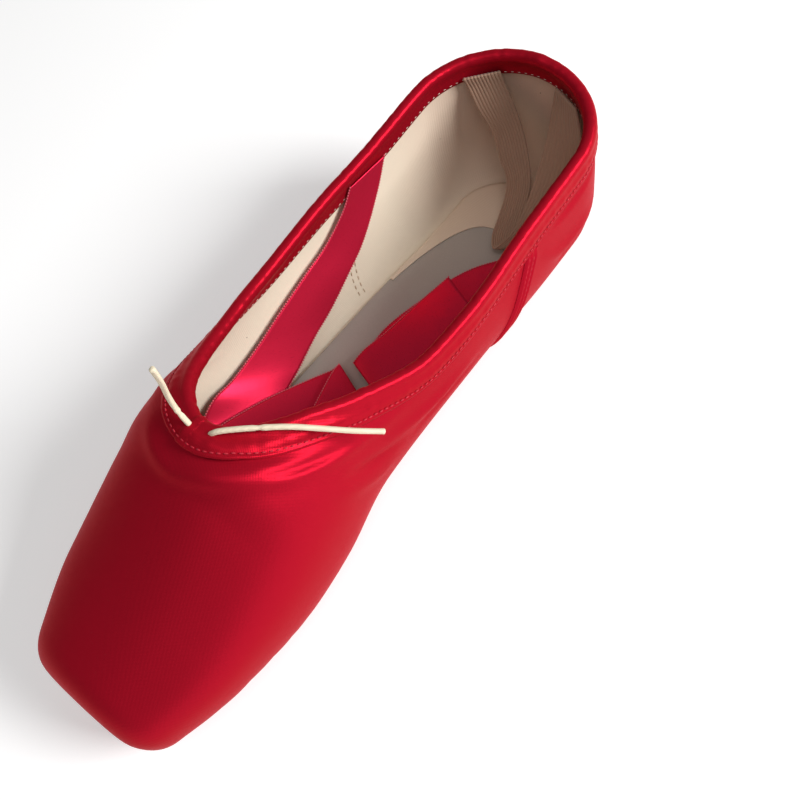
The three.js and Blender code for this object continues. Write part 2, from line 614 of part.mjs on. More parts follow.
function ribbonPoint([across, along, up]) {
  return new THREE.Vector3((across * MOUTH_WIDTH) / 2, along * SHOE_LENGTH, up * SIDE_HEIGHT);
}

function elasticPoint([across, back, up]) {
  const axis = station(HEEL_AXIS).y;
  return new THREE.Vector3(across * HEEL_ROUND, axis + back * HEEL_ROUND, up * HEEL_HEIGHT);
}

function smooth(points) {
  return new THREE.CatmullRomCurve3(points, false, "centripetal");
}

// A flat strip between its two edges, which pass smoothly through the rows of a table.
function strip(name, rows, place, steps, thickness, finish) {
  const edge = (key) => smooth(rows.map((row) => place(row[key])));
  const outer = edge("outer");
  const inner = edge("inner");
  const rings = spaced(0, 1, steps).map((t) => {
    const [a, b] = [outer.getPoint(t), inner.getPoint(t)];
    const along = outer.getTangent(t).add(inner.getTangent(t)).normalize();
    const lift = new THREE.Vector3().crossVectors(b.clone().sub(a), along).setLength(thickness / 2);
    return [a.clone().sub(lift), b.clone().sub(lift), b.clone().add(lift), a.clone().add(lift)];
  });
  return named(name, loft(rings), finish);
}

// A round cord through a row of points.
function cord(name, points, steps) {
  const path = smooth(points.map((p) => new THREE.Vector3(...p)));
  const radius = DRAWSTRING_DIAMETER / 2;
  const round = new THREE.Shape(spaced(0, 2 * Math.PI, 8).slice(1)
    .map((angle) => new THREE.Vector2(Math.cos(angle) * radius, Math.sin(angle) * radius)));
  return named(name, new THREE.ExtrudeGeometry(round, { steps, extrudePath: path }), CREAM_CORD);
}

const shoe = new THREE.Group();
shoe.add(
  makeUpper(),
  makeOutsole(),
  makeInsole(),
  makeBinding(),
  makeSideSeam("side_seam_left", LEFT),
  makeSideSeam("side_seam_right", RIGHT),
  strip("ribbon_left", RIBBON_LEFT, ribbonPoint, 57, RIBBON_THICKNESS, RED_SATIN),
  strip("ribbon_right", RIBBON_RIGHT, ribbonPoint, 39, RIBBON_THICKNESS, RED_SATIN),
  strip("heel_elastic", HEEL_ELASTIC, elasticPoint, 48, ELASTIC_THICKNESS, BEIGE_ELASTIC),
  cord("drawstring_left", DRAWSTRING_LEFT, 10),
  cord("drawstring_right", DRAWSTRING_RIGHT, 11),
);
export default shoe;
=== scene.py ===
"""Pointe shoe: red satin over a hardened box, cotton lining, folded ribbons and a drawstring.

Lengths are millimetres until a mesh is made, and the frame is the part's: the toe points
to -Y, left and right are as seen from the toe, so right is +X, and the floor is Z = 0.
"""

import logging
import math
from collections.abc import Callable
from dataclasses import dataclass, field
from enum import Enum

import bmesh
import bpy
import numpy as np
from mathutils import Matrix, Vector

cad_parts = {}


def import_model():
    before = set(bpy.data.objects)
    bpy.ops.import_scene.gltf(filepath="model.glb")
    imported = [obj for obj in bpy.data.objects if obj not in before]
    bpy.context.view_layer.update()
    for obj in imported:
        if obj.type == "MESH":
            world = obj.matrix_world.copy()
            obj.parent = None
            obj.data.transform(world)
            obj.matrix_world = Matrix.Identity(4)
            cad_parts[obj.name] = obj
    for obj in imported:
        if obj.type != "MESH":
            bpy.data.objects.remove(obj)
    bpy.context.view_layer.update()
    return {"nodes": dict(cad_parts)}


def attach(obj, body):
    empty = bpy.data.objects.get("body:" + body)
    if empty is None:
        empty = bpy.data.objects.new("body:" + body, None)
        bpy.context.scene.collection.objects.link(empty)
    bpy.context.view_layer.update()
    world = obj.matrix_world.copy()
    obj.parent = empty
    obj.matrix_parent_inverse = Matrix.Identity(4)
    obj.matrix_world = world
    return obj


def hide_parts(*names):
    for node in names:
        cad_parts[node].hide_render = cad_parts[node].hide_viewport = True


MM = 0.001
BODY = "root"
LOG = logging.getLogger("pointe_shoe")

# Driving sizes, as the solids have them.
SHOE_LENGTH = 240.0
PLATFORM_WIDTH = 47.5
PLATFORM_HEIGHT = 27.5
BALL_WIDTH = 72.0
WAIST_WIDTH = 66.0
HEEL_WIDTH = 64.0
VAMP_LENGTH = 74.0
INSTEP_HEIGHT = 66.0
SIDE_HEIGHT = 46.0
HEEL_HEIGHT = 55.0
MOUTH_WIDTH = 64.0
THROAT_WIDTH = 51.0
THROAT_ROUND = 48.0
HEEL_ROUND = 31.0
HEEL_LEAN = 2.5
NOSE_ROUND = 8.0
TOE_SPRING = 4.0
ARCH_RISE = 3.0
BOX_WALL = 3.0
QUARTER_WALL = 1.5
GAP = 0.38
OUTSOLE_THICKNESS = 2.6
SQUARE = 2.35
HEEL_AXIS = 1 - HEEL_ROUND / SHOE_LENGTH
THROAT = VAMP_LENGTH / SHOE_LENGTH
UPPER_FLOOR = OUTSOLE_THICKNESS + GAP
WAVE_SCALE = 0.31831  # gives a wave texture one line for each unit of its vector


class Side(Enum):
    """One half of the shoe, as seen from the toe."""

    LEFT = -1
    RIGHT = 1


class Columns:
    """A table by share of the shoe's length, read smoothly and without overshoot."""

    def __init__(self, at: list[float], **columns: list[float]) -> None:
        """Keeps the rows.

        Args:
            at: Shares of the length, rising.
            columns: The values of each named column at those shares.
        """
        self.at = np.array(at)
        self.columns = {name: np.array(values) for name, values in columns.items()}

    def read(self, name: str, at: np.ndarray) -> np.ndarray:
        """Reads one column.

        Args:
            name: The column.
            at: Shares of the length.

        Returns:
            The value at each share.
        """
        rows, values = self.at, self.columns[name]
        slope = np.diff(values) / np.diff(rows)
        tangent = np.zeros(len(rows))
        tangent[0], tangent[-1] = slope[0], slope[-1]
        product = slope[:-1] * slope[1:]
        total = np.where(product > 0, slope[:-1] + slope[1:], 1.0)
        tangent[1:-1] = np.where(product > 0, 2 * product / total, 0.0)
        at = np.clip(at, rows[0], rows[-1])
        i = np.clip(np.searchsorted(rows, at, side="right") - 1, 0, len(rows) - 2)
        width = rows[i + 1] - rows[i]
        t = (at - rows[i]) / width
        rise = values[i + 1] - values[i]
        first, second = tangent[i] * width, tangent[i + 1] * width
        return (
            values[i]
            + first * t
            + (3 * rise - 2 * first - second) * t**2
            + (first + second - 2 * rise) * t**3
        )


def quarter_round(t: np.ndarray) -> np.ndarray:
    """Rounds out from 0 to 1 like a quarter of an ellipse."""
    return np.sqrt(1 - (1 - np.clip(t, 0, 1)) ** 2)


def unit(vectors: np.ndarray) -> np.ndarray:
    """Vectors of length 1 in the same directions."""
    return vectors / np.maximum(np.linalg.norm(vectors, axis=-1, keepdims=True), 1e-12)


def distances(points: np.ndarray, axis: int = 0) -> np.ndarray:
    """How far along its row each point lies, from 0 at the first."""
    steps = np.linalg.norm(np.diff(points, axis=axis), axis=-1)
    return np.cumsum(np.insert(steps, 0, 0.0, axis=axis), axis=axis)


def smoothstep(x: np.ndarray, low: float, high: float) -> np.ndarray:
    """Rises smoothly from 0 at low to 1 at high."""
    t = np.clip((x - low) / (high - low), 0, 1)
    return t * t * (3 - 2 * t)


class Last:
    """The form that the shoe is made on, the same one as the solids follow."""

    NOSE_SQUARE = 2.4  # how square the rounding of the platform's edge is
    NOSE_LIFT = 0.6  # shares of that rounding at the floor and at the lower edge
    NOSE_TUCK = 0.5
    SETTLE_ROUNDS = 6
    STRIDE = 0.8  # longest step down the surface
    SLOPE_STEP = 0.01
    FORM = Columns(
        [0, 0.4 * THROAT, 0.8 * THROAT, THROAT, 0.43, 0.62, HEEL_AXIS, 1],
        left=[0.5 * PLATFORM_WIDTH, 0.46 * BALL_WIDTH, 0.5 * BALL_WIDTH, 0.505 * BALL_WIDTH,
              0.49 * BALL_WIDTH, 0.525 * WAIST_WIDTH, 0.49 * HEEL_WIDTH, HEEL_ROUND],
        right=[0.5 * PLATFORM_WIDTH, 0.455 * BALL_WIDTH, 0.495 * BALL_WIDTH, 0.485 * BALL_WIDTH,
               0.42 * BALL_WIDTH, 0.5 * WAIST_WIDTH, 0.52 * HEEL_WIDTH, HEEL_ROUND],
        tuck=[0.07 * BALL_WIDTH, 0.11 * BALL_WIDTH, 0.12 * BALL_WIDTH, 0.13 * BALL_WIDTH,
              0.14 * BALL_WIDTH, 0.2 * WAIST_WIDTH, 0.18 * HEEL_WIDTH, 0.18 * HEEL_WIDTH],
        widest=[0.45 * PLATFORM_HEIGHT, 0.29 * INSTEP_HEIGHT, 0.34 * INSTEP_HEIGHT,
                0.36 * INSTEP_HEIGHT, 0.54 * SIDE_HEIGHT, 0.6 * SIDE_HEIGHT,
                0.47 * HEEL_HEIGHT, 0.43 * HEEL_HEIGHT],
        crown=[TOE_SPRING + PLATFORM_HEIGHT, 0.66 * INSTEP_HEIGHT, 0.89 * INSTEP_HEIGHT]
        + [INSTEP_HEIGHT] * 5,
    )
    SOLE_LINE = Columns(
        [0, 0.1, 0.22, 0.4, 0.6, 0.8, 1],
        lift=[TOE_SPRING, 0.45 * TOE_SPRING, 0, 0, ARCH_RISE, 0, 0],
    )
    COLLAR = Columns(
        [THROAT, THROAT + 0.03, THROAT + 0.08, 0.45, 0.55, 0.65, 0.75, HEEL_AXIS, 1],
        left=[0.5 * THROAT_WIDTH, 0.56 * THROAT_WIDTH, 0.56 * THROAT_WIDTH, 0.46 * MOUTH_WIDTH,
              0.51 * MOUTH_WIDTH, 0.52 * MOUTH_WIDTH, 0.505 * MOUTH_WIDTH, 0.48 * MOUTH_WIDTH,
              HEEL_ROUND - HEEL_LEAN],
        right=[0.48 * THROAT_WIDTH, 0.48 * THROAT_WIDTH, 0.49 * THROAT_WIDTH, 0.41 * MOUTH_WIDTH,
               0.48 * MOUTH_WIDTH, 0.505 * MOUTH_WIDTH, 0.5 * MOUTH_WIDTH, 0.5 * MOUTH_WIDTH,
               HEEL_ROUND - HEEL_LEAN],
        left_height=[INSTEP_HEIGHT, 0.96 * INSTEP_HEIGHT, 0.87 * INSTEP_HEIGHT,
                     1.12 * SIDE_HEIGHT, 1.015 * SIDE_HEIGHT, 1.03 * SIDE_HEIGHT,
                     1.05 * SIDE_HEIGHT, 0.94 * HEEL_HEIGHT, HEEL_HEIGHT],
        right_height=[INSTEP_HEIGHT, 0.953 * INSTEP_HEIGHT, 0.888 * INSTEP_HEIGHT,
                      1.11 * SIDE_HEIGHT, 0.955 * SIDE_HEIGHT, 0.985 * SIDE_HEIGHT,
                      1.04 * SIDE_HEIGHT, 0.905 * HEEL_HEIGHT, HEEL_HEIGHT],
    )

    def station(self, at: np.ndarray) -> tuple[np.ndarray, np.ndarray, np.ndarray]:
        """Where sections stand. Past the heel axis they fan out around it.

        Args:
            at: Shares of the length.

        Returns:
            Their place along Y, and the parts of their reach that go out and back.
        """
        fan = np.maximum(0, (at - HEEL_AXIS) / (1 - HEEL_AXIS)) * (math.pi / 2)
        return (np.minimum(at, HEEL_AXIS) - 0.5) * SHOE_LENGTH, np.cos(fan), np.sin(fan)

    def section(self, side: np.ndarray, at: np.ndarray) -> dict[str, np.ndarray]:
        """The sizes of sections.

        Args:
            side: -1 for left and 1 for right.
            at: Shares of the length.

        Returns:
            Half width, lower edge, floor, widest height, crown, and the turn of the collar.
        """
        both = {}
        for name in ("left", "right"):
            both[name] = (
                self.FORM.read(name, at),
                self.COLLAR.read(name, at),
                self.COLLAR.read(name + "_height", at),
            )
        right = side > 0
        half, edge, height = (
            np.where(right, r, l) for r, l in zip(both["right"], both["left"])
        )
        near = np.minimum(1, at * SHOE_LENGTH / NOSE_ROUND)
        square = self.NOSE_SQUARE
        inset = NOSE_ROUND * (1 - (1 - (1 - near) ** square) ** (1 / square))
        floor = self.SOLE_LINE.read("lift", at) + UPPER_FLOOR
        widest = floor + self.FORM.read("widest", at) - UPPER_FLOOR
        edge = edge * quarter_round((at - THROAT) * SHOE_LENGTH / THROAT_ROUND)
        cosine = np.minimum(edge / half, 0.999) ** (SQUARE / 2)
        sine = np.sqrt(1 - cosine**2)
        ahead = at <= THROAT
        crown = np.where(
            ahead,
            self.FORM.read("crown", at) - inset,
            widest + (height - widest) / np.maximum(sine, 1e-6) ** (2 / SQUARE),
        )
        return {
            "half": half - inset,
            "feather": half - self.FORM.read("tuck", at) - self.NOSE_TUCK * inset,
            "floor": floor + self.NOSE_LIFT * inset,
            "widest": widest + self.NOSE_LIFT * inset,
            "crown": crown,
            "collar_turn": np.where(ahead, 2, 1 + np.arctan2(sine, cosine) / (math.pi / 2)),
        }

    def point(self, side: np.ndarray, at: np.ndarray, turn: np.ndarray) -> np.ndarray:
        """Points of the surface.

        Args:
            side: -1 for left and 1 for right.
            at: Shares of the length.
            turn: -1 under the middle, 0 at the lower edge, 1 at the widest line, 2 on top.

        Returns:
            An array of points.
        """
        side, at, turn = np.broadcast_arrays(*map(np.asarray, (side, at, turn)))
        y, out, back = self.station(at)
        s = self.section(side, at)
        low = np.clip(turn, 0, 1) * (math.pi / 2)
        high = np.clip(turn - 1, 0, 1) * (math.pi / 2)
        reach = np.where(
            turn > 1,
            s["half"] * np.maximum(np.cos(high), 0) ** (2 / SQUARE),
            np.where(
                turn > 0,
                s["feather"] + (s["half"] - s["feather"]) * np.sin(low),
                s["feather"] * (1 + turn),
            ),
        )
        rise = (s["crown"] - s["widest"]) * np.sin(high) ** (2 / SQUARE)
        height = np.where(
            turn > 1,
            s["widest"] + rise,
            np.where(turn > 0, s["floor"] + (s["widest"] - s["floor"]) * (1 - np.cos(low)),
                     s["floor"]),
        )
        return np.stack([side * reach * out, y + reach * back, height], -1)

    def outside(self, p: np.ndarray) -> np.ndarray:
        """How far outside the surface points are.

        Args:
            p: Points.

        Returns:
            0 on the surface, and growing outwards.
        """
        side = np.where(p[..., 0] < 0, -1, 1)
        across = np.abs(p[..., 0])
        behind = p[..., 1] - (HEEL_AXIS - 0.5) * SHOE_LENGTH
        back = behind > 0
        fan = np.arctan2(np.maximum(behind, 0), across) / (math.pi / 2)
        at = np.where(back, HEEL_AXIS + fan * (1 - HEEL_AXIS), p[..., 1] / SHOE_LENGTH + 0.5)
        reach = np.where(back, np.hypot(across, behind), across)
        s = self.section(side, np.maximum(at, 0))
        top = (np.abs(p[..., 2] - s["widest"]) / (s["crown"] - s["widest"])) ** SQUARE
        high = (reach / s["half"]) ** SQUARE + top - 1
        tuck = np.maximum(0, reach - s["feather"]) / (s["half"] - s["feather"])
        low = tuck**2 + ((s["widest"] - p[..., 2]) / (s["widest"] - s["floor"])) ** 2 - 1
        return np.where(p[..., 2] > s["widest"], high, low)

    def slope(self, p: np.ndarray) -> np.ndarray:
        """The gradient of outside().

        Args:
            p: Points.

        Returns:
            A vector at each.
        """
        step = self.SLOPE_STEP
        parts = [(self.outside(p + move) - self.outside(p - move)) / (2 * step)
                 for move in np.eye(3) * step]
        return np.stack(parts, -1)

    def settle(self, p: np.ndarray) -> tuple[np.ndarray, np.ndarray]:
        """Moves points onto the surface.

        Args:
            p: Points near it.

        Returns:
            The points on it, and its outward normals there.
        """
        for _ in range(self.SETTLE_ROUNDS):
            slope = self.slope(p)
            p = p - slope * (self.outside(p) / (slope**2).sum(-1))[..., None]
        return p, unit(self.slope(p))

    def walk(self, edge: np.ndarray, along: np.ndarray, depths: list[float]) -> list[tuple]:
        """Steps down the surface from points of the top edge, square to that edge.

        Args:
            edge: Points of the top edge.
            along: The edge's direction at each.
            depths: Distances down, rising.

        Returns:
            For each depth, the points, the normals and the directions down.
        """
        here, normal = self.settle(edge)
        down = unit(np.cross(along, normal))
        walked, found = 0.0, []
        for depth in depths:
            steps = math.ceil(abs(depth - walked) / self.STRIDE)
            for _ in range(steps):
                here, normal = self.settle(here + down * (depth - walked) / steps)
                down = unit(down - normal * (down * normal).sum(-1, keepdims=True))
            walked = depth
            found.append((here, normal, down))
        return found

    def turn_at(self, side: int, at: float, height: float) -> float:
        """The turn at which a section reaches a height.

        Args:
            side: Left or right.
            at: Share of the length.
            height: Height over the floor.

        Returns:
            The turn.
        """
        turns = np.linspace(0.02, 2, 400)
        heights = self.point(side, at, turns)[:, 2]
        return float(np.interp(height, heights, turns))


LAST = Last()


@dataclass(frozen=True)
class Shade:
    """A colour in linear light."""

    red: float
    green: float
    blue: float

    @property
    def rgba(self) -> tuple[float, float, float, float]:
        """The colour with full opacity."""
        return (self.red, self.green, self.blue, 1.0)

    def times(self, factor: float) -> "Shade":
        """The colour made lighter or darker."""
        return Shade(self.red * factor, self.green * factor, self.blue * factor)


class Nodes:
    """Writes a material's node tree in few words."""

    def __init__(self, name: str) -> None:
        """Makes a material that holds one shader.

        Args:
            name: The material's name.
        """
        self.material = bpy.data.materials.new(name)
        self.material.use_nodes = True
        self.tree = self.material.node_tree
        self.shader = self.tree.nodes["Principled BSDF"]

    def node(self, kind: str, **inputs: object) -> bpy.types.Node:
        """Adds a node.

        Args:
            kind: Its type, without the ShaderNode prefix.
            inputs: Values or sockets for its inputs, or its own settings.

        Returns:
            The node.
        """
        made = self.tree.nodes.new("ShaderNode" + kind)
        for name, value in inputs.items():
            label = name.replace("_", " ")
            if label in made.inputs:
                self.set(made.inputs[label], value)
            elif name in made.inputs:
                self.set(made.inputs[name], value)
            else:
                setattr(made, name, value)
        return made

    def set(self, socket: bpy.types.NodeSocket, value: object) -> None:
        """Gives a socket a value or a link.

        Args:
            socket: An input.
            value: A value, or another node's output.
        """
        if isinstance(value, bpy.types.NodeSocket):
            self.tree.links.new(value, socket)
        else:
            socket.default_value = value

    def math(self, operation: str, a: object, b: object = 0.0) -> bpy.types.NodeSocket:
        """Works with two numbers.

        Args:
            operation: What the Math node does.
            a: A value or a socket.
            b: Another.

        Returns:
            The outcome.
        """
        made = self.node("Math", operation=operation)
        self.set(made.inputs[0], a)
        self.set(made.inputs[1], b)
        return made.outputs[0]

    def mix(self, share: object, a: object, b: object) -> bpy.types.NodeSocket:
        """A colour between two others.

        Args:
            share: How far it is from the first to the second.
            a: The first colour.
            b: The second colour.

        Returns:
            The colour.
        """
        made = self.node("Mix", data_type="RGBA")
        self.set(made.inputs[0], share)
        self.set(made.inputs[6], a)
        self.set(made.inputs[7], b)
        return made.outputs[2]

    def place(self, scale: tuple, turn: tuple = (0, 0, 0), uv: bool = False) -> bpy.types.NodeSocket:
        """Scaled coordinates, of the object or of its UV map.

        Args:
            scale: Repeats a metre along each axis, or a unit of the UV map.
            turn: Turns in degrees.
            uv: True for the piece's own UV map.

        Returns:
            The coordinates.
        """
        source = self.node("TexCoord").outputs["UV" if uv else "Object"]
        made = self.node("Mapping", Vector=source, Scale=scale)
        made.inputs["Rotation"].default_value = [math.radians(x) for x in turn]
        return made.outputs[0]

    def noise(self, scale: float, detail: float = 3, vector: object = None) -> bpy.types.NodeSocket:
        """A noise.

        Args:
            scale: About how many spots it has in a metre.
            detail: How many finer layers it has.
            vector: Its coordinates, or None for the object's.

        Returns:
            The noise, from 0 to 1.
        """
        if vector is None:
            vector = self.node("TexCoord").outputs["Object"]
        return self.node("TexNoise", Vector=vector, Scale=scale, Detail=detail).outputs["Fac"]

    def bump(self, height: object, depth: float, strength: float = 1.0,
             normal: object = None) -> bpy.types.NodeSocket:
        """A bumped normal.

        Args:
            height: The pattern, from 0 to 1.
            depth: Its depth in millimetres.
            strength: How much of it is used.
            normal: Another bump's normal beneath it.

        Returns:
            The normal.
        """
        made = self.node("Bump", Height=height, Strength=strength, Distance=depth * MM)
        if normal is not None:
            self.set(made.inputs["Normal"], normal)
        return made.outputs[0]

    def finish(self, colour: object, roughness: object, normal: object = None,
               **constants: float) -> bpy.types.Material:
        """Connects the shader.

        Args:
            colour: Base colour.
            roughness: Roughness.
            normal: Bumped normal.
            constants: Other inputs of the shader, with one value all over.

        Returns:
            The material.
        """
        self.set(self.shader.inputs["Base Color"], colour)
        self.set(self.shader.inputs["Roughness"], roughness)
        if normal is not None:
            self.set(self.shader.inputs["Normal"], normal)
        for name, value in constants.items():
            self.shader.inputs[name.replace("_", " ")].default_value = value
        return self.material


@dataclass(frozen=True)
class Satin:
    """Woven satin: long floats that catch the light along the cloth."""

    name: str
    colour: Shade
    threads: float = 2.6  # twill lines in a millimetre
    weave_depth: float = 0.03
    roughness: float = 0.42
    sheen: float = 0.04
    gloss: float = 0.12
    metallic: float = 0.45
    slant: float = 38.0

    def make(self) -> bpy.types.Material:
        """Builds the material.

        Returns:
            The material.
        """
        n = Nodes(self.name)
        lines = n.place((self.threads * 1000,) * 3, (0, 0, self.slant), uv=True)
        twill = n.node("TexWave", Vector=lines, Scale=WAVE_SCALE, Distortion=0.6,
                       Detail=1.0, Detail_Scale=0.4).outputs["Fac"]
        cross = n.node("TexWave", Vector=n.place((1200,) * 3, (0, 0, self.slant + 90), uv=True),
                       Scale=WAVE_SCALE, Distortion=1.2, Detail=1.0).outputs["Fac"]
        slub = n.noise(700, 2, n.place((1, 9, 1), uv=True))
        soft = n.noise(26, 2)
        weave = n.math("ADD", n.math("MULTIPLY", twill, 0.75), n.math("MULTIPLY", cross, 0.25))
        shade = n.mix(n.math("MULTIPLY", twill, 0.35), self.colour.times(0.9).rgba,
                      self.colour.times(1.12).rgba)
        shade = n.mix(n.math("MULTIPLY", soft, 0.3), shade, self.colour.times(0.82).rgba)
        rough = n.math("ADD", n.math("MULTIPLY", slub, 0.16), self.roughness - 0.08)
        normal = n.bump(soft, 0.35, 0.35)
        normal = n.bump(weave, self.weave_depth, 0.9, normal)
        return n.finish(shade, rough, normal, Sheen_Weight=self.sheen, Sheen_Roughness=0.35,
                        Sheen_Tint=(1.0, 0.2, 0.25, 1.0), Metallic=self.metallic, IOR=1.3,
                        Specular_IOR_Level=self.gloss, Specular_Tint=(1.0, 0.16, 0.2, 1.0),
                        Anisotropic=0.35)


@dataclass(frozen=True)
class Cotton:
    """The lining: plain-woven cotton canvas with a few specks, and painted shade that darkens it
    towards the heel.
    """

    name: str
    colour: Shade
    speck: Shade
    heel_shade_colour: Shade = Shade(0.62, 0.44, 0.34)  # painted shade, with a pink cast of reflected light, towards the heel
    heel: tuple[float, float] = (0.065, 0.115)  # metres along Y, where the painted shade comes in
    threads: float = 1.5

    def make(self) -> bpy.types.Material:
        """Builds the material.

        Returns:
            The material.
        """
        n = Nodes(self.name)
        warp, weft = (
            n.node("TexWave", Vector=n.place((self.threads * 1000,) * 3, (0, 0, turn), uv=True),
                   Scale=WAVE_SCALE, Distortion=0.8, Detail=1.0).outputs["Fac"]
            for turn in (0, 90)
        )
        weave = n.math("MULTIPLY", warp, weft)
        cloud = n.noise(38, 3)
        spots = n.node("TexVoronoi", Vector=n.place((1, 1, 1)), Scale=210.0).outputs["Distance"]
        rare = n.math("LESS_THAN", spots, 0.045)
        rare = n.math("MULTIPLY", rare, n.math("GREATER_THAN", n.noise(120, 0), 0.56))
        shade = n.mix(n.math("MULTIPLY", cloud, 0.5), self.colour.rgba,
                      self.colour.times(0.84).rgba)
        # Painted shade: the cloth turns darker and pinker towards the heel, standing in for shadow
        # and red light reflected from the satin.
        back = n.node("SeparateXYZ", Vector=n.place((1, 1, 1))).outputs["Y"]
        painted_heel_shade = n.node("MapRange", Value=back, From_Min=self.heel[0], From_Max=self.heel[1],
                      To_Max=0.85)
        shade = n.mix(painted_heel_shade.outputs[0], shade, self.heel_shade_colour.rgba)
        shade = n.mix(n.math("MULTIPLY", weave, 0.14), shade, self.colour.times(0.6).rgba)
        shade = n.mix(rare, shade, self.speck.rgba)
        normal = n.bump(n.noise(26, 1), 3.0, 0.5)
        normal = n.bump(n.noise(90, 3), 0.5, 0.4, normal)
        normal = n.bump(weave, 0.05, 0.8, normal)
        return n.finish(shade, 0.9, normal, Sheen_Weight=0.05, Specular_IOR_Level=0.2)


@dataclass(frozen=True)
class Hide:
    """Leather or fibre board: fine grain with cloudy colour."""

    name: str
    colour: Shade
    grain: float = 900.0
    depth: float = 0.12
    roughness: float = 0.82

    def make(self) -> bpy.types.Material:
        """Builds the material.

        Returns:
            The material.
        """
        n = Nodes(self.name)
        cells = n.node("TexVoronoi", Vector=n.place((1, 1, 1)), Scale=self.grain).outputs[0]
        fibre = n.noise(self.grain * 1.6, 4)
        cloud = n.noise(30, 4)
        shade = n.mix(cloud, self.colour.times(1.12).rgba, self.colour.times(0.8).rgba)
        shade = n.mix(n.math("MULTIPLY", fibre, 0.45), shade, self.colour.times(0.62).rgba)
        pores = n.math("ADD", n.math("MULTIPLY", cells, 0.5), n.math("MULTIPLY", fibre, 0.5))
        rough = n.math("ADD", n.math("MULTIPLY", fibre, 0.16), self.roughness - 0.08)
        return n.finish(shade, rough, n.bump(pores, self.depth, 0.8), Specular_IOR_Level=0.3)


@dataclass(frozen=True)
class Elastic:
    """Ribbed knitted elastic, its ribs along the UV map's V."""

    name: str
    colour: Shade

    def make(self) -> bpy.types.Material:
        """Builds the material.

        Returns:
            The material.
        """
        n = Nodes(self.name)
        loops = n.noise(900, 2, n.place((1.6, 0.35, 1.0), uv=True))
        fuzz = n.noise(2600, 3)
        shade = n.mix(n.math("MULTIPLY", loops, 0.35), self.colour.rgba,
                      self.colour.times(0.72).rgba)
        shade = n.mix(n.math("MULTIPLY", fuzz, 0.3), shade, self.colour.times(1.25).rgba)
        height = n.math("ADD", n.math("MULTIPLY", loops, 0.6), n.math("MULTIPLY", fuzz, 0.4))
        return n.finish(shade, 0.85, n.bump(height, 0.07, 0.8), Sheen_Weight=0.15,
                        Specular_IOR_Level=0.25)


@dataclass(frozen=True)
class Thread:
    """Sewing thread, or a cord's twisted strands."""

    name: str
    colour: Shade
    roughness: float = 0.6

    def make(self) -> bpy.types.Material:
        """Builds the material.

        Returns:
            The material.
        """
        n = Nodes(self.name)
        twist = n.node("TexWave", Vector=n.place((1800, 1800, 1800), (0, 35, 20)),
                       Scale=WAVE_SCALE, Distortion=0.5).outputs["Fac"]
        fuzz = n.noise(3000, 2)
        shade = n.mix(n.math("MULTIPLY", twist, 0.3), self.colour.rgba,
                      self.colour.times(0.7).rgba)
        height = n.math("ADD", n.math("MULTIPLY", twist, 0.6), n.math("MULTIPLY", fuzz, 0.4))
        return n.finish(shade, self.roughness, n.bump(height, 0.06, 0.8), Sheen_Weight=0.05,
                        Specular_IOR_Level=0.2)


SATIN = Satin("red_satin", Shade(0.42, 0.0065, 0.021))
BINDING_SATIN = Satin("binding_satin", Shade(0.43, 0.007, 0.02), roughness=0.34, slant=78.0)
RIBBON_SATIN = Satin("ribbon_satin", Shade(0.64, 0.018, 0.058), threads=3.4,
                     weave_depth=0.015, roughness=0.3, slant=0.0)
LINING_COTTON = Cotton("lining_cotton", Shade(0.88, 0.78, 0.62), Shade(0.12, 0.08, 0.06))
SOCK_COTTON = Cotton("sock_cotton", Shade(0.80, 0.68, 0.53), Shade(0.12, 0.08, 0.06))
SOLE_LEATHER = Hide("sole_leather", Shade(0.42, 0.25, 0.12), grain=700)
INSOLE_BOARD = Hide("insole_board", Shade(0.46, 0.425, 0.38), grain=1400, depth=0.05)
BEIGE_ELASTIC = Elastic("beige_elastic", Shade(0.36, 0.225, 0.155))
RED_THREAD = Thread("red_thread", Shade(0.5, 0.02, 0.04))
PINK_THREAD = Thread("pink_thread", Shade(0.72, 0.12, 0.17))
WHITE_THREAD = Thread("white_thread", Shade(0.82, 0.76, 0.66))
# Cream lining thread painted darker tan: painted shade standing in for the shadow round its
# stitches.
SHADED_LINING_THREAD = Thread("shaded_lining_thread", Shade(0.56, 0.42, 0.29))
CORD_THREAD = Thread("drawstring_thread", Shade(0.80, 0.70, 0.52), 0.7)


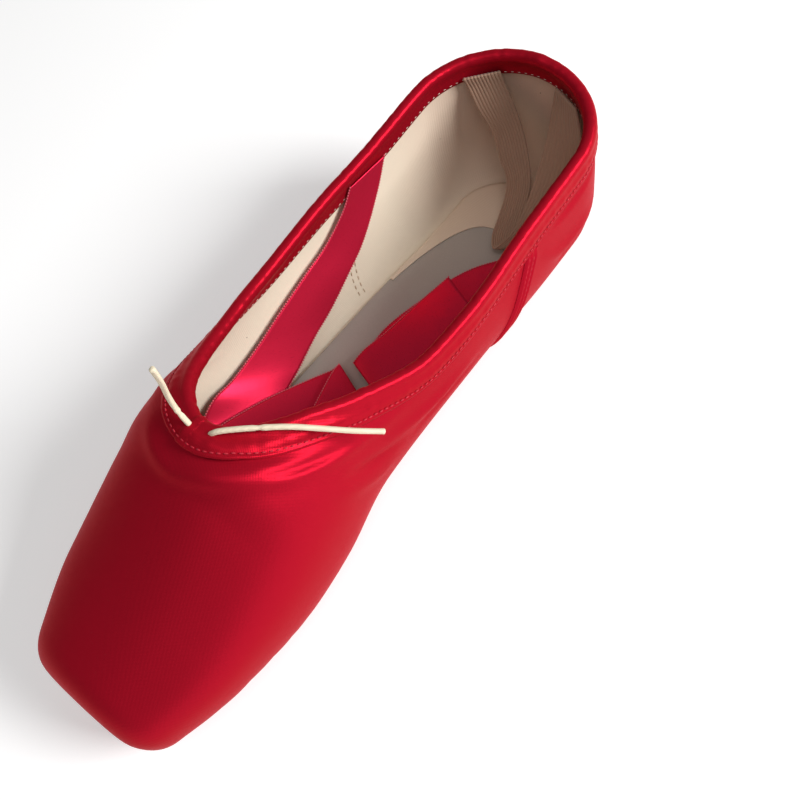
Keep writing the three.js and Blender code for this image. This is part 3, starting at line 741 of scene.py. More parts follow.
class Meshes:
    """Makes Blender meshes from arrays in millimetres."""

    @staticmethod
    def make(name: str, points: np.ndarray, faces: list, material: bpy.types.Material,
             uv: np.ndarray | None = None) -> bpy.types.Object:
        """Makes a smooth-shaded object.

        Args:
            name: Its name.
            points: Vertices, in millimetres.
            faces: Tuples of vertex numbers.
            material: Its finish.
            uv: One UV pair for each vertex, in metres of cloth.

        Returns:
            The object, linked to the scene.
        """
        mesh = bpy.data.meshes.new(name)
        mesh.from_pydata((np.asarray(points).reshape(-1, 3) * MM).tolist(), [], faces)
        mesh.materials.append(material)
        mesh.polygons.foreach_set("use_smooth", [True] * len(mesh.polygons))
        if uv is not None:
            layer = mesh.uv_layers.new(name="cloth")
            loops = np.zeros(len(mesh.loops), int)
            mesh.loops.foreach_get("vertex_index", loops)
            layer.data.foreach_set("uv", np.asarray(uv).reshape(-1, 2)[loops].ravel())
        made = bpy.data.objects.new(name, mesh)
        bpy.context.scene.collection.objects.link(made)
        return made

    @staticmethod
    def quads(rows: int, columns: int, start: int = 0, loop: bool = False,
              flip: bool = False) -> list:
        """The faces of a grid of vertices.

        Args:
            rows: Rows of vertices.
            columns: Vertices in a row.
            start: Number of the first vertex.
            loop: True where the last row joins the first.
            flip: True to face the other way.

        Returns:
            Tuples of four vertex numbers.
        """
        i = np.arange(rows if loop else rows - 1)[:, None]
        j = np.arange(columns - 1)[None, :]
        after = (i + 1) % rows
        corners = [i * columns + j, i * columns + j + 1, after * columns + j + 1,
                   after * columns + j]
        faces = np.stack(np.broadcast_arrays(*corners), -1).reshape(-1, 4) + start
        return [tuple(face) for face in (faces[:, ::-1] if flip else faces).tolist()]

    @staticmethod
    def places(points: np.ndarray) -> np.ndarray:
        """A number for each point, the same for points that lie in one place."""
        found = np.unique(np.round(points, 2) + 0.0, axis=0, return_inverse=True)[1]
        return found.reshape(-1)

    @staticmethod
    def normals(points: np.ndarray, faces: np.ndarray) -> np.ndarray:
        """Vertex normals of quads, from the sizes of the faces around.

        Args:
            points: Vertices.
            faces: Quads.

        Returns:
            A normal for each vertex.
        """
        a, b, c, d = (points[faces[:, k]] for k in range(4))
        face = np.cross(c - a, d - b)
        place = Meshes.places(points)
        found = np.zeros((place.max() + 1, 3))
        for k in range(4):
            np.add.at(found, place[faces[:, k]], face)
        return unit(found)[place]

    @staticmethod
    def shell(name: str, points: np.ndarray, faces: list, thickness: np.ndarray,
              material: bpy.types.Material, uv: np.ndarray | None = None,
              drop: float | np.ndarray = 0.0) -> bpy.types.Object:
        """A sheet with a thickness inwards and closed edges.

        Args:
            name: Its name.
            points: Vertices of the outer face.
            faces: Quads of the outer face, facing out.
            thickness: Thickness at each vertex.
            material: Its finish.
            uv: UV pairs of the vertices.
            drop: How far inwards the outer face starts, all over or at each vertex.

        Returns:
            The object.
        """
        quads = np.array(faces)
        normal = Meshes.normals(points, quads)
        drop = np.broadcast_to(drop, len(points)).reshape(-1, 1)
        outer = points - normal * drop
        inner = points - normal * (drop + np.asarray(thickness).reshape(-1, 1))
        count = len(points)
        directed = np.concatenate([quads[:, [k, (k + 1) % 4]] for k in range(4)])
        ends = Meshes.places(points)[directed]
        keys = ends[:, 0] * count + ends[:, 1]
        back = ends[:, 1] * count + ends[:, 0]
        free = directed[~np.isin(keys, back) & (ends[:, 0] != ends[:, 1])]
        made = [tuple(f) for f in quads.tolist()]
        made += [tuple(f) for f in (quads[:, ::-1] + count).tolist()]
        made += [(b, a, a + count, b + count) for a, b in free.tolist()]
        both = None if uv is None else np.concatenate([uv, uv])
        return Meshes.make(name, np.concatenate([outer, inner]), made, material, both)

    @staticmethod
    def weld(made: bpy.types.Object, distance: float = 0.004) -> bpy.types.Object:
        """Joins vertices in the same place and drops faces without area.

        Args:
            made: The object.
            distance: How close they are, in millimetres.

        Returns:
            The same object.
        """
        work = bmesh.new()
        work.from_mesh(made.data)
        bmesh.ops.remove_doubles(work, verts=work.verts, dist=distance * MM)
        bmesh.ops.dissolve_degenerate(work, edges=work.edges, dist=1e-7)
        work.to_mesh(made.data)
        work.free()
        made.data.polygons.foreach_set("use_smooth", [True] * len(made.data.polygons))
        return made


@dataclass(frozen=True)
class Stitch:
    """The size of a row's stitches, in millimetres."""

    spacing: float  # from one stitch to the next
    length: float
    thickness: float


class Repeats:
    """Geometry Nodes trees that lay small pieces along a path."""

    @staticmethod
    def stitch_tree() -> bpy.types.NodeTree:
        """A tree that lays stitches along a mesh polyline.

        Returns:
            The tree. Its inputs are Geometry, Spacing, Length, Thickness and Material.
        """
        tree = bpy.data.node_groups.new("stitches_on_path", "GeometryNodeTree")
        face = tree.interface
        face.new_socket("Geometry", in_out="INPUT", socket_type="NodeSocketGeometry")
        for name, value in (("Spacing", 2.2), ("Length", 1.7), ("Thickness", 0.45)):
            made = face.new_socket(name, in_out="INPUT", socket_type="NodeSocketFloat")
            made.default_value = value * MM
        face.new_socket("Material", in_out="INPUT", socket_type="NodeSocketMaterial")
        face.new_socket("Geometry", in_out="OUTPUT", socket_type="NodeSocketGeometry")
        new, link = tree.nodes.new, tree.links.new
        given, out = new("NodeGroupInput"), new("NodeGroupOutput")
        curve, even = new("GeometryNodeMeshToCurve"), new("GeometryNodeResampleCurve")
        even.mode = "LENGTH"
        link(given.outputs["Geometry"], curve.inputs["Mesh"])
        link(curve.outputs["Curve"], even.inputs["Curve"])
        link(given.outputs["Spacing"], even.inputs["Length"])
        bead, size = new("GeometryNodeMeshUVSphere"), new("ShaderNodeCombineXYZ")
        bead.inputs["Segments"].default_value = 8
        bead.inputs["Rings"].default_value = 5
        bead.inputs["Radius"].default_value = 0.5
        shaped = new("GeometryNodeTransform")
        link(bead.outputs["Mesh"], shaped.inputs["Geometry"])
        link(given.outputs["Length"], size.inputs["X"])
        link(given.outputs["Thickness"], size.inputs["Y"])
        link(given.outputs["Thickness"], size.inputs["Z"])
        link(size.outputs["Vector"], shaped.inputs["Scale"])
        smooth, tangent = new("GeometryNodeSetShadeSmooth"), new("GeometryNodeInputTangent")
        link(shaped.outputs["Geometry"], smooth.inputs["Geometry"])
        aim, lay = new("FunctionNodeAlignRotationToVector"), new("GeometryNodeInstanceOnPoints")
        aim.axis = "X"
        link(tangent.outputs["Tangent"], aim.inputs["Vector"])
        link(even.outputs["Curve"], lay.inputs["Points"])
        link(smooth.outputs["Geometry"], lay.inputs["Instance"])
        link(aim.outputs["Rotation"], lay.inputs["Rotation"])
        real, dress = new("GeometryNodeRealizeInstances"), new("GeometryNodeSetMaterial")
        link(lay.outputs["Instances"], real.inputs["Geometry"])
        link(real.outputs["Geometry"], dress.inputs["Geometry"])
        link(given.outputs["Material"], dress.inputs["Material"])
        link(dress.outputs["Geometry"], out.inputs["Geometry"])
        return tree

    @staticmethod
    def along(name: str, tree: bpy.types.NodeTree, paths: list[np.ndarray],
              material: bpy.types.Material, stitch: Stitch) -> bpy.types.Object:
        """Lays stitches along paths and turns them into one plain mesh.

        Args:
            name: The piece's name.
            tree: The tree from stitch_tree().
            paths: Rows of points, in millimetres.
            material: The thread.
            stitch: The size of its stitches.

        Returns:
            The object.
        """
        edges, start = [], 0
        for path in paths:
            edges += [(start + i, start + i + 1) for i in range(len(path) - 1)]
            start += len(path)
        mesh = bpy.data.meshes.new(name + "_path")
        mesh.from_pydata((np.concatenate(paths) * MM).tolist(), edges, [])
        carrier = bpy.data.objects.new(name + "_path", mesh)
        bpy.context.scene.collection.objects.link(carrier)
        work = carrier.modifiers.new("stitches", "NODES")
        work.node_group = tree
        sockets = {s.name: s.identifier for s in tree.interface.items_tree
                   if s.in_out == "INPUT"}
        work[sockets["Spacing"]] = stitch.spacing * MM
        work[sockets["Length"]] = stitch.length * MM
        work[sockets["Thickness"]] = stitch.thickness * MM
        work[sockets["Material"]] = material
        bpy.context.view_layer.update()
        graph = bpy.context.evaluated_depsgraph_get()
        result = bpy.data.meshes.new_from_object(carrier.evaluated_get(graph))
        result.name = name
        bpy.data.objects.remove(carrier)
        made = bpy.data.objects.new(name, result)
        bpy.context.scene.collection.objects.link(made)
        return made


@dataclass
class Crease:
    """A soft ridge or trough in the cloth, along a bow through three places of the last.

    Each place is (side, share of the length, turn).
    """

    start: tuple[int, float, float]
    middle: tuple[int, float, float]
    end: tuple[int, float, float]
    width: float  # millimetres from its line to where it fades
    height: float  # millimetres, above 0 for a ridge
    fade: float = 1.2  # how softly its two ends run out

    def line(self, steps: int = 24) -> np.ndarray:
        """Follows the last along it.

        Args:
            steps: How many points.

        Returns:
            The points.
        """
        a, b, c = (LAST.point(*place) for place in (self.start, self.middle, self.end))
        t = np.linspace(0, 1, steps)[:, None]
        bend = 2 * b - 0.5 * (a + c)
        raw = a * (1 - t) ** 2 + 2 * bend * t * (1 - t) + c * t**2
        return LAST.settle(raw)[0]

    def lift(self, points: np.ndarray) -> np.ndarray:
        """How far it lifts points.

        Args:
            points: Points of the surface.

        Returns:
            Millimetres for each.
        """
        line = self.line()
        reach = 3 * self.width
        low, high = line.min(0) - reach, line.max(0) + reach
        near = ((points > low) & (points < high)).all(-1)
        lifted = np.zeros(len(points))
        if not near.any():
            return lifted
        some = points[near]
        best = np.full(len(some), 1e9)
        share = np.zeros(len(some))
        for i, (a, b) in enumerate(zip(line[:-1], line[1:])):
            ab = b - a
            t = np.clip(((some - a) @ ab) / (ab @ ab), 0, 1)
            away = np.linalg.norm(some - a - t[:, None] * ab, axis=-1)
            closer = away < best
            best = np.where(closer, away, best)
            share = np.where(closer, (i + t) / (len(line) - 1), share)
        fade = np.sin(np.pi * np.clip(share, 0, 1)) ** self.fade
        lifted[near] = self.height * np.exp(-((best / self.width) ** 2)) * fade
        return lifted


LEFT, RIGHT = Side.LEFT.value, Side.RIGHT.value


@dataclass
class SatinUpper:
    """The satin outside and the cotton lining of the hollow upper."""

    UNDER, LOW, HIGH = 9, 27, 40  # points to the sole's rim, the widest line and the top edge
    RINGS = 22  # rings that close the platform
    BEND = 8.0  # distance from the throat at which its bend is still rounded
    AVERAGED = (-6, -3, 0, 3, 6)  # millimetres along the shoe
    PLEAT_HEIGHTS = (4.5, 14.0)  # the pleats fade out between these
    PLEAT_PLACES = (52.0, 84.0)  # and between these, in front of the shoe's middle
    CLEAR = 0.02  # between the satin and the lining
    THINNEST = 0.3  # of the lining
    satin: float = 0.6  # thickness of the satin
    lasting_margin: float = 6.0  # satin that the outsole covers
    pleats: int = 30  # folds gathered under the toe
    pleat_depth: float = 0.55
    creases: list[Crease] = field(default_factory=list)

    def wall(self, y: np.ndarray) -> np.ndarray:
        """The upper's whole thickness at places along the shoe."""
        at = y / SHOE_LENGTH + 0.5
        return BOX_WALL + (QUARTER_WALL - BOX_WALL) * smoothstep(at, 0.4 * THROAT, 0.8 * THROAT)

    def stations(self) -> np.ndarray:
        """Where the rows of vertices stand, closest at the nose and behind the throat.

        Returns:
            Shares of the length.
        """
        nose = NOSE_ROUND / SHOE_LENGTH
        return np.concatenate([
            nose * np.linspace(0, 1, 12)[:-1] ** 1.7,
            np.linspace(nose, THROAT, 84)[:-1],
            THROAT + np.linspace(0, 1, 30) ** 1.9 * THROAT_ROUND / SHOE_LENGTH,
            np.linspace(THROAT + THROAT_ROUND / SHOE_LENGTH, HEEL_AXIS, 92)[1:],
            np.linspace(HEEL_AXIS, 1, 46)[1:],
        ])

    def softened(self, side: int, at: np.ndarray, turns: np.ndarray) -> np.ndarray:
        """Points of the last, with the bend beside the throat rounded.

        Args:
            side: Left or right.
            at: Shares of the length, one for each row.
            turns: Turns of the rows' points.

        Returns:
            Rows of points from the platform to the middle of the back.
        """
        made = LAST.point(side, at, turns)
        near = np.exp(-(((at - THROAT) * SHOE_LENGTH / self.BEND) ** 2))
        above = np.arange(turns.shape[1]) - turns.shape[1] + self.HIGH
        share = np.clip(above / (self.HIGH - 1), 0, 1)
        around = [
            LAST.point(side, np.clip(at + d / SHOE_LENGTH, 0.0, 1.0), turns)
            for d in self.AVERAGED
        ]
        pull = (near * (1 - share**8)[None, :])[..., None] * np.array([1.0, 0.0, 1.0])
        return made + pull * (np.mean(around, axis=0) - made)

    def surface(self) -> tuple[np.ndarray, list, np.ndarray]:
        """The outer face.

        Returns:
            Its vertices, quads and UV pairs.
        """
        at = self.stations()
        rows = {}
        for side in (LEFT, RIGHT):
            s = LAST.section(np.full(len(at), side), at)
            margin = Sole.half(at, self.lasting_margin) / s["feather"] - 1
            under = margin[:, None] * (1 - np.linspace(0, 1, self.UNDER))[None, :-1]
            low = np.tile(np.linspace(0, 1, self.LOW)[None, :-1], (len(at), 1))
            share = 1 - (1 - np.linspace(0, 1, self.HIGH)) ** 1.3
            high = 1 + (s["collar_turn"] - 1)[:, None] * share[None, :]
            turns = np.concatenate([under, low, high], 1)
            rows[side] = self.softened(side, at[:, None], turns)
        columns = rows[LEFT].shape[1]
        ring = np.concatenate([rows[RIGHT][0], rows[LEFT][0][::-1]])
        centre = ring.mean(0)
        rings = [centre + (ring - centre) * share
                 for share in np.linspace(1, 0, self.RINGS)[1:]]
        right, left = rows[RIGHT].reshape(-1, 3), rows[LEFT].reshape(-1, 3)
        points = np.concatenate([right, left, *rings])
        faces = Meshes.quads(len(at), columns, 0, flip=True)
        faces += Meshes.quads(len(at), columns, len(right))
        count = len(ring)
        first = np.concatenate([np.arange(columns),
                                len(right) + np.arange(columns)[::-1]])
        start = len(right) + len(left)
        for _ in rings:
            second = start + np.arange(count)
            faces += [(int(first[(j + 1) % count]), int(second[(j + 1) % count]),
                       int(second[j]), int(first[j])) for j in range(count)]
            first, start = second, start + count
        girth = distances(rows[RIGHT], axis=1)
        widest = girth[:, -self.HIGH]
        throat = int(np.argmin(np.abs(at - THROAT)))
        crown = np.where(at <= THROAT, girth[:, -1], widest + girth[throat, -1] - widest[throat])
        along = np.broadcast_to((at * SHOE_LENGTH)[:, None], girth.shape)
        uv = [np.stack([sign * (girth - crown[:, None]), along], -1).reshape(-1, 2)
              for sign in (1, -1)]
        disc = points[len(right) + len(left):]
        uv.append(np.stack([disc[:, 0], -disc[:, 2]], -1))
        return points, faces, np.concatenate(uv) * MM

    def lift(self, points: np.ndarray) -> np.ndarray:
        """How far the creases and the pleats under the toe lift the satin.

        Args:
            points: Vertices of the smooth face.

        Returns:
            Millimetres for each.
        """
        lift = sum((crease.lift(points) for crease in self.creases), np.zeros(len(points)))
        x, y, z = points.T
        tip = Sole.TIP + Sole.NOSE - SHOE_LENGTH / 2
        angle = np.arctan2(x, -(y - tip))
        low, high = self.PLEAT_HEIGHTS
        bottom = smoothstep(-z, -high, -low) * smoothstep(-y, *self.PLEAT_PLACES)
        fold = np.abs(np.sin(angle * self.pleats / 2 + 0.8 * np.sin(3 * angle))) ** 0.7
        return lift - self.pleat_depth * bottom * (1 - fold)

    def build(self) -> list[bpy.types.Object]:
        """Makes the satin and the lining.

        Returns:
            The two.
        """
        points, faces, uv = self.surface()
        lift = self.lift(points)
        shaped = points + Meshes.normals(points, np.array(faces)) * lift[:, None]
        thin = np.full(len(points), self.satin)
        satin = Meshes.shell("satin_upper", shaped, faces, thin, SATIN.make(), uv)
        drop = self.satin + self.CLEAR + np.maximum(0, -lift)
        rest = np.maximum(self.wall(points[:, 1]) - drop, self.THINNEST)
        lining = Meshes.shell("lining", points, faces, rest, LINING_COTTON.make(), uv, drop)
        for made in (satin, lining):
            Meshes.weld(made)
            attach(made, BODY)
        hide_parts("upper")
        return [satin, lining]


class Board:
    """A board that follows the sole line, with a rounded rim."""

    FRONT, MIDDLE, BACK = 28, 90, 36  # points along its three stretches
    ACROSS = 9  # points across each half of a face, and round the rim

    @staticmethod
    def build(name: str, tip: float, nose: float,
              half: Callable[[int, np.ndarray], np.ndarray],
              under: Callable[[np.ndarray], np.ndarray], thickness: float,
              material: bpy.types.Material, rim: float) -> bpy.types.Object:
        """Makes the board.

        Args:
            name: The piece's name.
            tip: From the platform to its front.
            nose: Length over which the front rounds out.
            half: Gives its half width from a side and a share of the length.
            under: Gives its lower face over the sole line from a share.
            thickness: Its thickness.
            material: Its finish.
            rim: Radius of the rounded rim.

        Returns:
            The object.
        """
        front = (1 - np.cos(np.linspace(0, math.pi / 2, Board.FRONT))) * nose + tip
        at = np.concatenate([
            front / SHOE_LENGTH,
            np.linspace(front[-1] / SHOE_LENGTH, HEEL_AXIS, Board.MIDDLE)[1:],
            np.linspace(HEEL_AXIS, 1, Board.BACK)[1:],
        ])
        y, out, back = LAST.station(at)
        base = LAST.SOLE_LINE.read("lift", at) + under(at)
        angles = np.linspace(-math.pi / 2, math.pi / 2, Board.ACROSS)
        profile = [(share, 0.0, 0.0) for share in np.linspace(0, 1, Board.ACROSS)[:-1]]
        profile += [(1.0, rim * (math.cos(a) - 1), 0.5 * (1 + math.sin(a))) for a in angles]
        profile += [(share, 0.0, 1.0) for share in np.linspace(1, 0, Board.ACROSS)[1:]]
        halves = []
        for side in (RIGHT, LEFT):
            reach = half(side, at)
            rows = []
            for share, pull, rise in profile:
                r = np.maximum(share * (reach + pull), 0)
                if pull == 0.0:
                    r = share * np.maximum(reach - rim, 0)
                rows.append(np.stack([side * r * out, y + r * back,
                                      base + rise * thickness], -1))
            halves.append(np.stack(rows, 1))
        right, left = halves
        columns = right.shape[1]
        points = np.concatenate([right.reshape(-1, 3), left.reshape(-1, 3)])
        faces = Meshes.quads(len(at), columns, 0, flip=True)
        faces += Meshes.quads(len(at), columns, right.shape[0] * columns)
        made = Meshes.make(name, points, faces, material)
        return Meshes.weld(made, 0.01)


@dataclass
class Sole:
    """The leather outsole and the insole board."""

    TIP = 24.0
    NOSE = 26.0
    WIDTHS = Columns([0.1, 0.26, 0.58, HEEL_AXIS, 1], half=[22.5, 25, 15, 21, HEEL_ROUND - 10])
    insole_thickness: float = 1.8
    insole_tip: float = 16.0
    insole_nose: float = 20.0
    insole_margin: float = 1.5
    outsole_rim: float = 0.9  # radii of the rounded rims
    insole_rim: float = 0.7

    @staticmethod
    def half(at: np.ndarray, inset: float = 0.0) -> np.ndarray:
        """The outsole's half width at shares of the length, less an inset."""
        wide = np.maximum(0, Sole.WIDTHS.read("half", at) - inset)
        return wide * quarter_round((at * SHOE_LENGTH - Sole.TIP - inset) / (Sole.NOSE - inset))

    def insole_half(self, side: int, at: np.ndarray) -> np.ndarray:
        """The insole's half width.

        Args:
            side: Left or right.
            at: Shares of the length.

        Returns:
            Millimetres for each.
        """
        feather = LAST.section(np.full(len(at), side), at)["feather"]
        front = quarter_round((at * SHOE_LENGTH - self.insole_tip) / self.insole_nose)
        return (feather - self.insole_margin) * front

    def build(self) -> list[bpy.types.Object]:
        """Makes the outsole and the insole board.

        Returns:
            The two.
        """
        outsole = Board.build(
            "leather_outsole", self.TIP, self.NOSE, lambda side, at: self.half(at),
            lambda at: 0 * at, OUTSOLE_THICKNESS, SOLE_LEATHER.make(), self.outsole_rim)
        insole = Board.build(
            "insole_board", self.insole_tip, self.insole_nose, self.insole_half,
            lambda at: UPPER_FLOOR + SatinUpper().wall((at - 0.5) * SHOE_LENGTH) + GAP,
            self.insole_thickness, INSOLE_BOARD.make(), self.insole_rim)
        for made, node, slot in ((outsole, "outsole", "sole_leather"),
                                 (insole, "insole", "insole_board")):
            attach(made, BODY)
            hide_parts(node)
        return [outsole, insole]


@dataclass
class HeelSock:
    """The cotton pasted over the heel of the insole board, with a round notch in front."""

    STRAIGHT, FANNED, ACROSS = 70, 36, 14  # points along the shoe, round the heel and across
    PASTE = 0.03  # between the board and the cotton
    front: float = 46.0  # where its two arms begin, from the middle of the shoe
    middle: float = 38.0
    reach: float = 84.0  # the end of the notch, from the middle of the shoe
    half: float = 18.0  # half width of the notch
    thickness: float = 0.4
    inset: float = 0.5  # from the board's rim

    def build(self) -> list[bpy.types.Object]:
        """Makes the sheet.

        Returns:
            It alone.
        """
        start = self.front / SHOE_LENGTH + 0.5
        at = np.concatenate([np.linspace(start, HEEL_AXIS, self.STRAIGHT),
                             np.linspace(HEEL_AXIS, 1, self.FANNED)[1:]])
        y, out, back = LAST.station(at)
        sole = Sole()
        wall = SatinUpper().wall((at - 0.5) * SHOE_LENGTH)
        top = (LAST.SOLE_LINE.read("lift", at) + UPPER_FLOOR + wall + GAP
               + sole.insole_thickness + self.thickness + self.PASTE)
        round_end = 1 - ((y - self.middle) / (self.reach - self.middle)) ** 2
        notch = self.half * np.sqrt(np.clip(round_end, 0, 1))
        points, faces, count = [], [], 0
        for side in (RIGHT, LEFT):
            reach = sole.insole_half(side, at) - self.inset
            share = np.linspace(0, 1, self.ACROSS)
            r = notch[:, None] + (reach - notch)[:, None] * share[None, :]
            grid = np.stack(np.broadcast_arrays(
                side * r * out[:, None], y[:, None] + r * back[:, None], top[:, None]), -1)
            faces += Meshes.quads(len(at), len(share), count, flip=side == LEFT)
            points.append(grid.reshape(-1, 3))
            count += len(points[-1])
        flat = np.concatenate(points)
        made = Meshes.shell("heel_sock", flat, faces, np.full(len(flat), self.thickness),
                            SOCK_COTTON.make(), flat[:, :2] * MM)
        Meshes.weld(made)
        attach(made, BODY)
        return [made]


@dataclass
class CollarBinding:
    """The bias binding round the top edge, with the drawstring's casing and its stitches."""

    ROLL_RISE = 0.5  # of the roll's top over the top edge
    ROLL_ANGLES = (-20, 200)  # degrees from straight outwards
    HEM = (0.75, 0.09)  # where the row of stitches pulls the tape in, and how wide
    PUFF = (0.3, 0.22)  # where the tape puffs out above it, and how wide
    FOLD = 0.97  # share of the depth past which its lower fold is thinner
    OUTER_ROWS, ROLL_ROWS, INNER_ROWS = 9, 17, 7
    HEM_ROW, LINING_ROW = 6, 5  # the rows that the stitches follow, outside and inside
    GATHERS = (31, 47, 66, 93, 127)  # waves round the loop
    SEED = 7
    LAP_PLACE = -3.0  # across the shoe, where the ends of the tape overlap
    LAP_REACH, LAP_EDGE, LAP_STEP = 7.0, 0.35, 0.28
    LAP_FRONT = -30.0  # only in front of this
    HEM_STITCH = Stitch(1.9, 1.3, 0.46)
    LINING_STITCH = Stitch(2.4, 1.0, 0.24)
    outer_depth: float = 5.5
    inner_depth: float = 4.5
    tape: float = 0.7  # its thickness
    roll: float = 2.2  # radius of the casing
    rings: int = 760
    pucker: float = 0.16

    def edge(self) -> tuple[np.ndarray, np.ndarray]:
        """Follows the top edge.

        Returns:
            Points of an even loop, and its direction at each.
        """
        front = THROAT + np.linspace(0, 1, 60) ** 2 * THROAT_ROUND / SHOE_LENGTH
        at = np.concatenate([front, np.linspace(front[-1], HEEL_AXIS, 120)[1:],
                             np.linspace(HEEL_AXIS, 1, 60)[1:]])
        halves = []
        for side in (RIGHT, LEFT):
            turn = LAST.section(np.full(len(at), side), at)["collar_turn"]
            halves.append(LAST.point(side, at, turn))
        loop = np.concatenate([halves[0], halves[1][::-1][1:]])
        length = distances(loop)
        even = np.linspace(0, length[-1], self.rings + 1)[:-1]
        points = np.stack([np.interp(even, length, loop[:, k]) for k in range(3)], -1)
        for _ in range(2):
            points = (np.roll(points, 1, 0) + 2 * points + np.roll(points, -1, 0)) / 4
        along = unit(np.roll(points, -2, 0) - np.roll(points, 2, 0))
        return points, along

    def waviness(self, count: int) -> np.ndarray:
        """Small gathers along the loop.

        Args:
            count: Points of the loop.

        Returns:
            A value for each, from about -1 to 1.
        """
        t = np.linspace(0, 2 * math.pi, count, endpoint=False)
        draw = np.random.default_rng(self.SEED)
        total = np.zeros(count)
        for cycles in self.GATHERS:
            total += np.sin(cycles * t + draw.uniform(0, 6.28)) * draw.uniform(0.5, 1.0)
        return total / 3.2

    def lap(self, edge: np.ndarray) -> np.ndarray:
        """The step at the throat, where one end of the binding lies over the other.

        Args:
            edge: Points of the top edge.

        Returns:
            Millimetres outwards for each.
        """
        across = edge[:, 0] - self.LAP_PLACE
        fade = np.exp(-((across / self.LAP_REACH) ** 2)) * (edge[:, 1] < self.LAP_FRONT)
        return self.LAP_STEP * np.tanh(across / self.LAP_EDGE) * fade

    def build(self, tree: bpy.types.NodeTree) -> list[bpy.types.Object]:
        """Makes the binding and its rows of stitches.

        Args:
            tree: The stitches' tree.

        Returns:
            The binding, and its stitches outside and inside.
        """
        edge, along = self.edge()
        shares = np.linspace(0, 1, self.OUTER_ROWS)
        outer = LAST.walk(edge, along, list(shares * self.outer_depth))
        inner = LAST.walk(edge, along,
                          list(np.linspace(0, 1, self.INNER_ROWS) * self.inner_depth))
        wave = self.waviness(len(edge))[:, None]
        point, normal, down = outer[0]
        middle = point - normal * QUARTER_WALL / 2 + down * (self.ROLL_RISE - self.roll)
        lap = self.lap(edge)[:, None]
        columns = []
        for share, (q, n, _) in list(zip(shares, outer))[:0:-1]:
            hem = 1.0 - 0.5 * math.exp(-(((share - self.HEM[0]) / self.HEM[1]) ** 2))
            if share > self.FOLD:
                hem = 0.7
            puff = 0.25 * math.exp(-(((share - self.PUFF[0]) / self.PUFF[1]) ** 2))
            columns.append(q + n * (GAP + self.tape * hem + puff * (1 + 0.4 * wave) + lap
                                    + self.pucker * 0.25 * wave * math.sin(math.pi * share)))
        for degrees in np.linspace(*self.ROLL_ANGLES, self.ROLL_ROWS):
            angle = math.radians(degrees)
            radius = self.roll * (1 + self.pucker * 0.4 * wave * max(0.0, math.sin(angle)))
            radius = radius + lap
            columns.append(middle + normal * math.cos(angle) * radius
                           - down * math.sin(angle) * radius)
        inside = -QUARTER_WALL - GAP
        for q, n, _ in inner[1:]:
            columns.append(q + n * (inside - self.tape))
        for q, n, _ in inner[:0:-1]:
            columns.append(q + n * inside)
        columns.append(inner[0][0] + inner[0][1] * inside - inner[0][2] * 2 * GAP)
        columns.append(point + normal * GAP - down * 2 * GAP)
        for q, n, _ in outer[1:]:
            columns.append(q + n * GAP)
        columns.append(columns[0])
        rows = np.stack(columns, 1)
        count, wide = rows.shape[:2]
        girth = distances(rows, axis=1)
        length = np.cumsum(np.linalg.norm(edge - np.roll(edge, 1, 0), axis=1))
        uv = np.stack([girth, np.broadcast_to(length[:, None], girth.shape)], -1) * MM
        faces = Meshes.quads(count, wide, loop=True)
        binding = Meshes.make("collar_binding_satin", rows.reshape(-1, 3), faces,
                              BINDING_SATIN.make(), uv)
        Meshes.weld(binding)
        q, n, _ = outer[self.HEM_ROW]
        hem_line = q + n * (GAP + self.tape * 0.85)
        q, n, _ = inner[self.LINING_ROW]
        lining_line = q + n * (inside - self.tape + 0.02)
        outside = Repeats.along("binding_stitches", tree, [np.vstack([hem_line, hem_line[:1]])],
                                RED_THREAD.make(), self.HEM_STITCH)
        within = Repeats.along("lining_stitches", tree,
                               [np.vstack([lining_line, lining_line[:1]])],
                               WHITE_THREAD.make(), self.LINING_STITCH)
        for made in (binding, outside, within):
            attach(made, BODY)
        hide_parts("collar_binding")
        return [binding, outside, within]


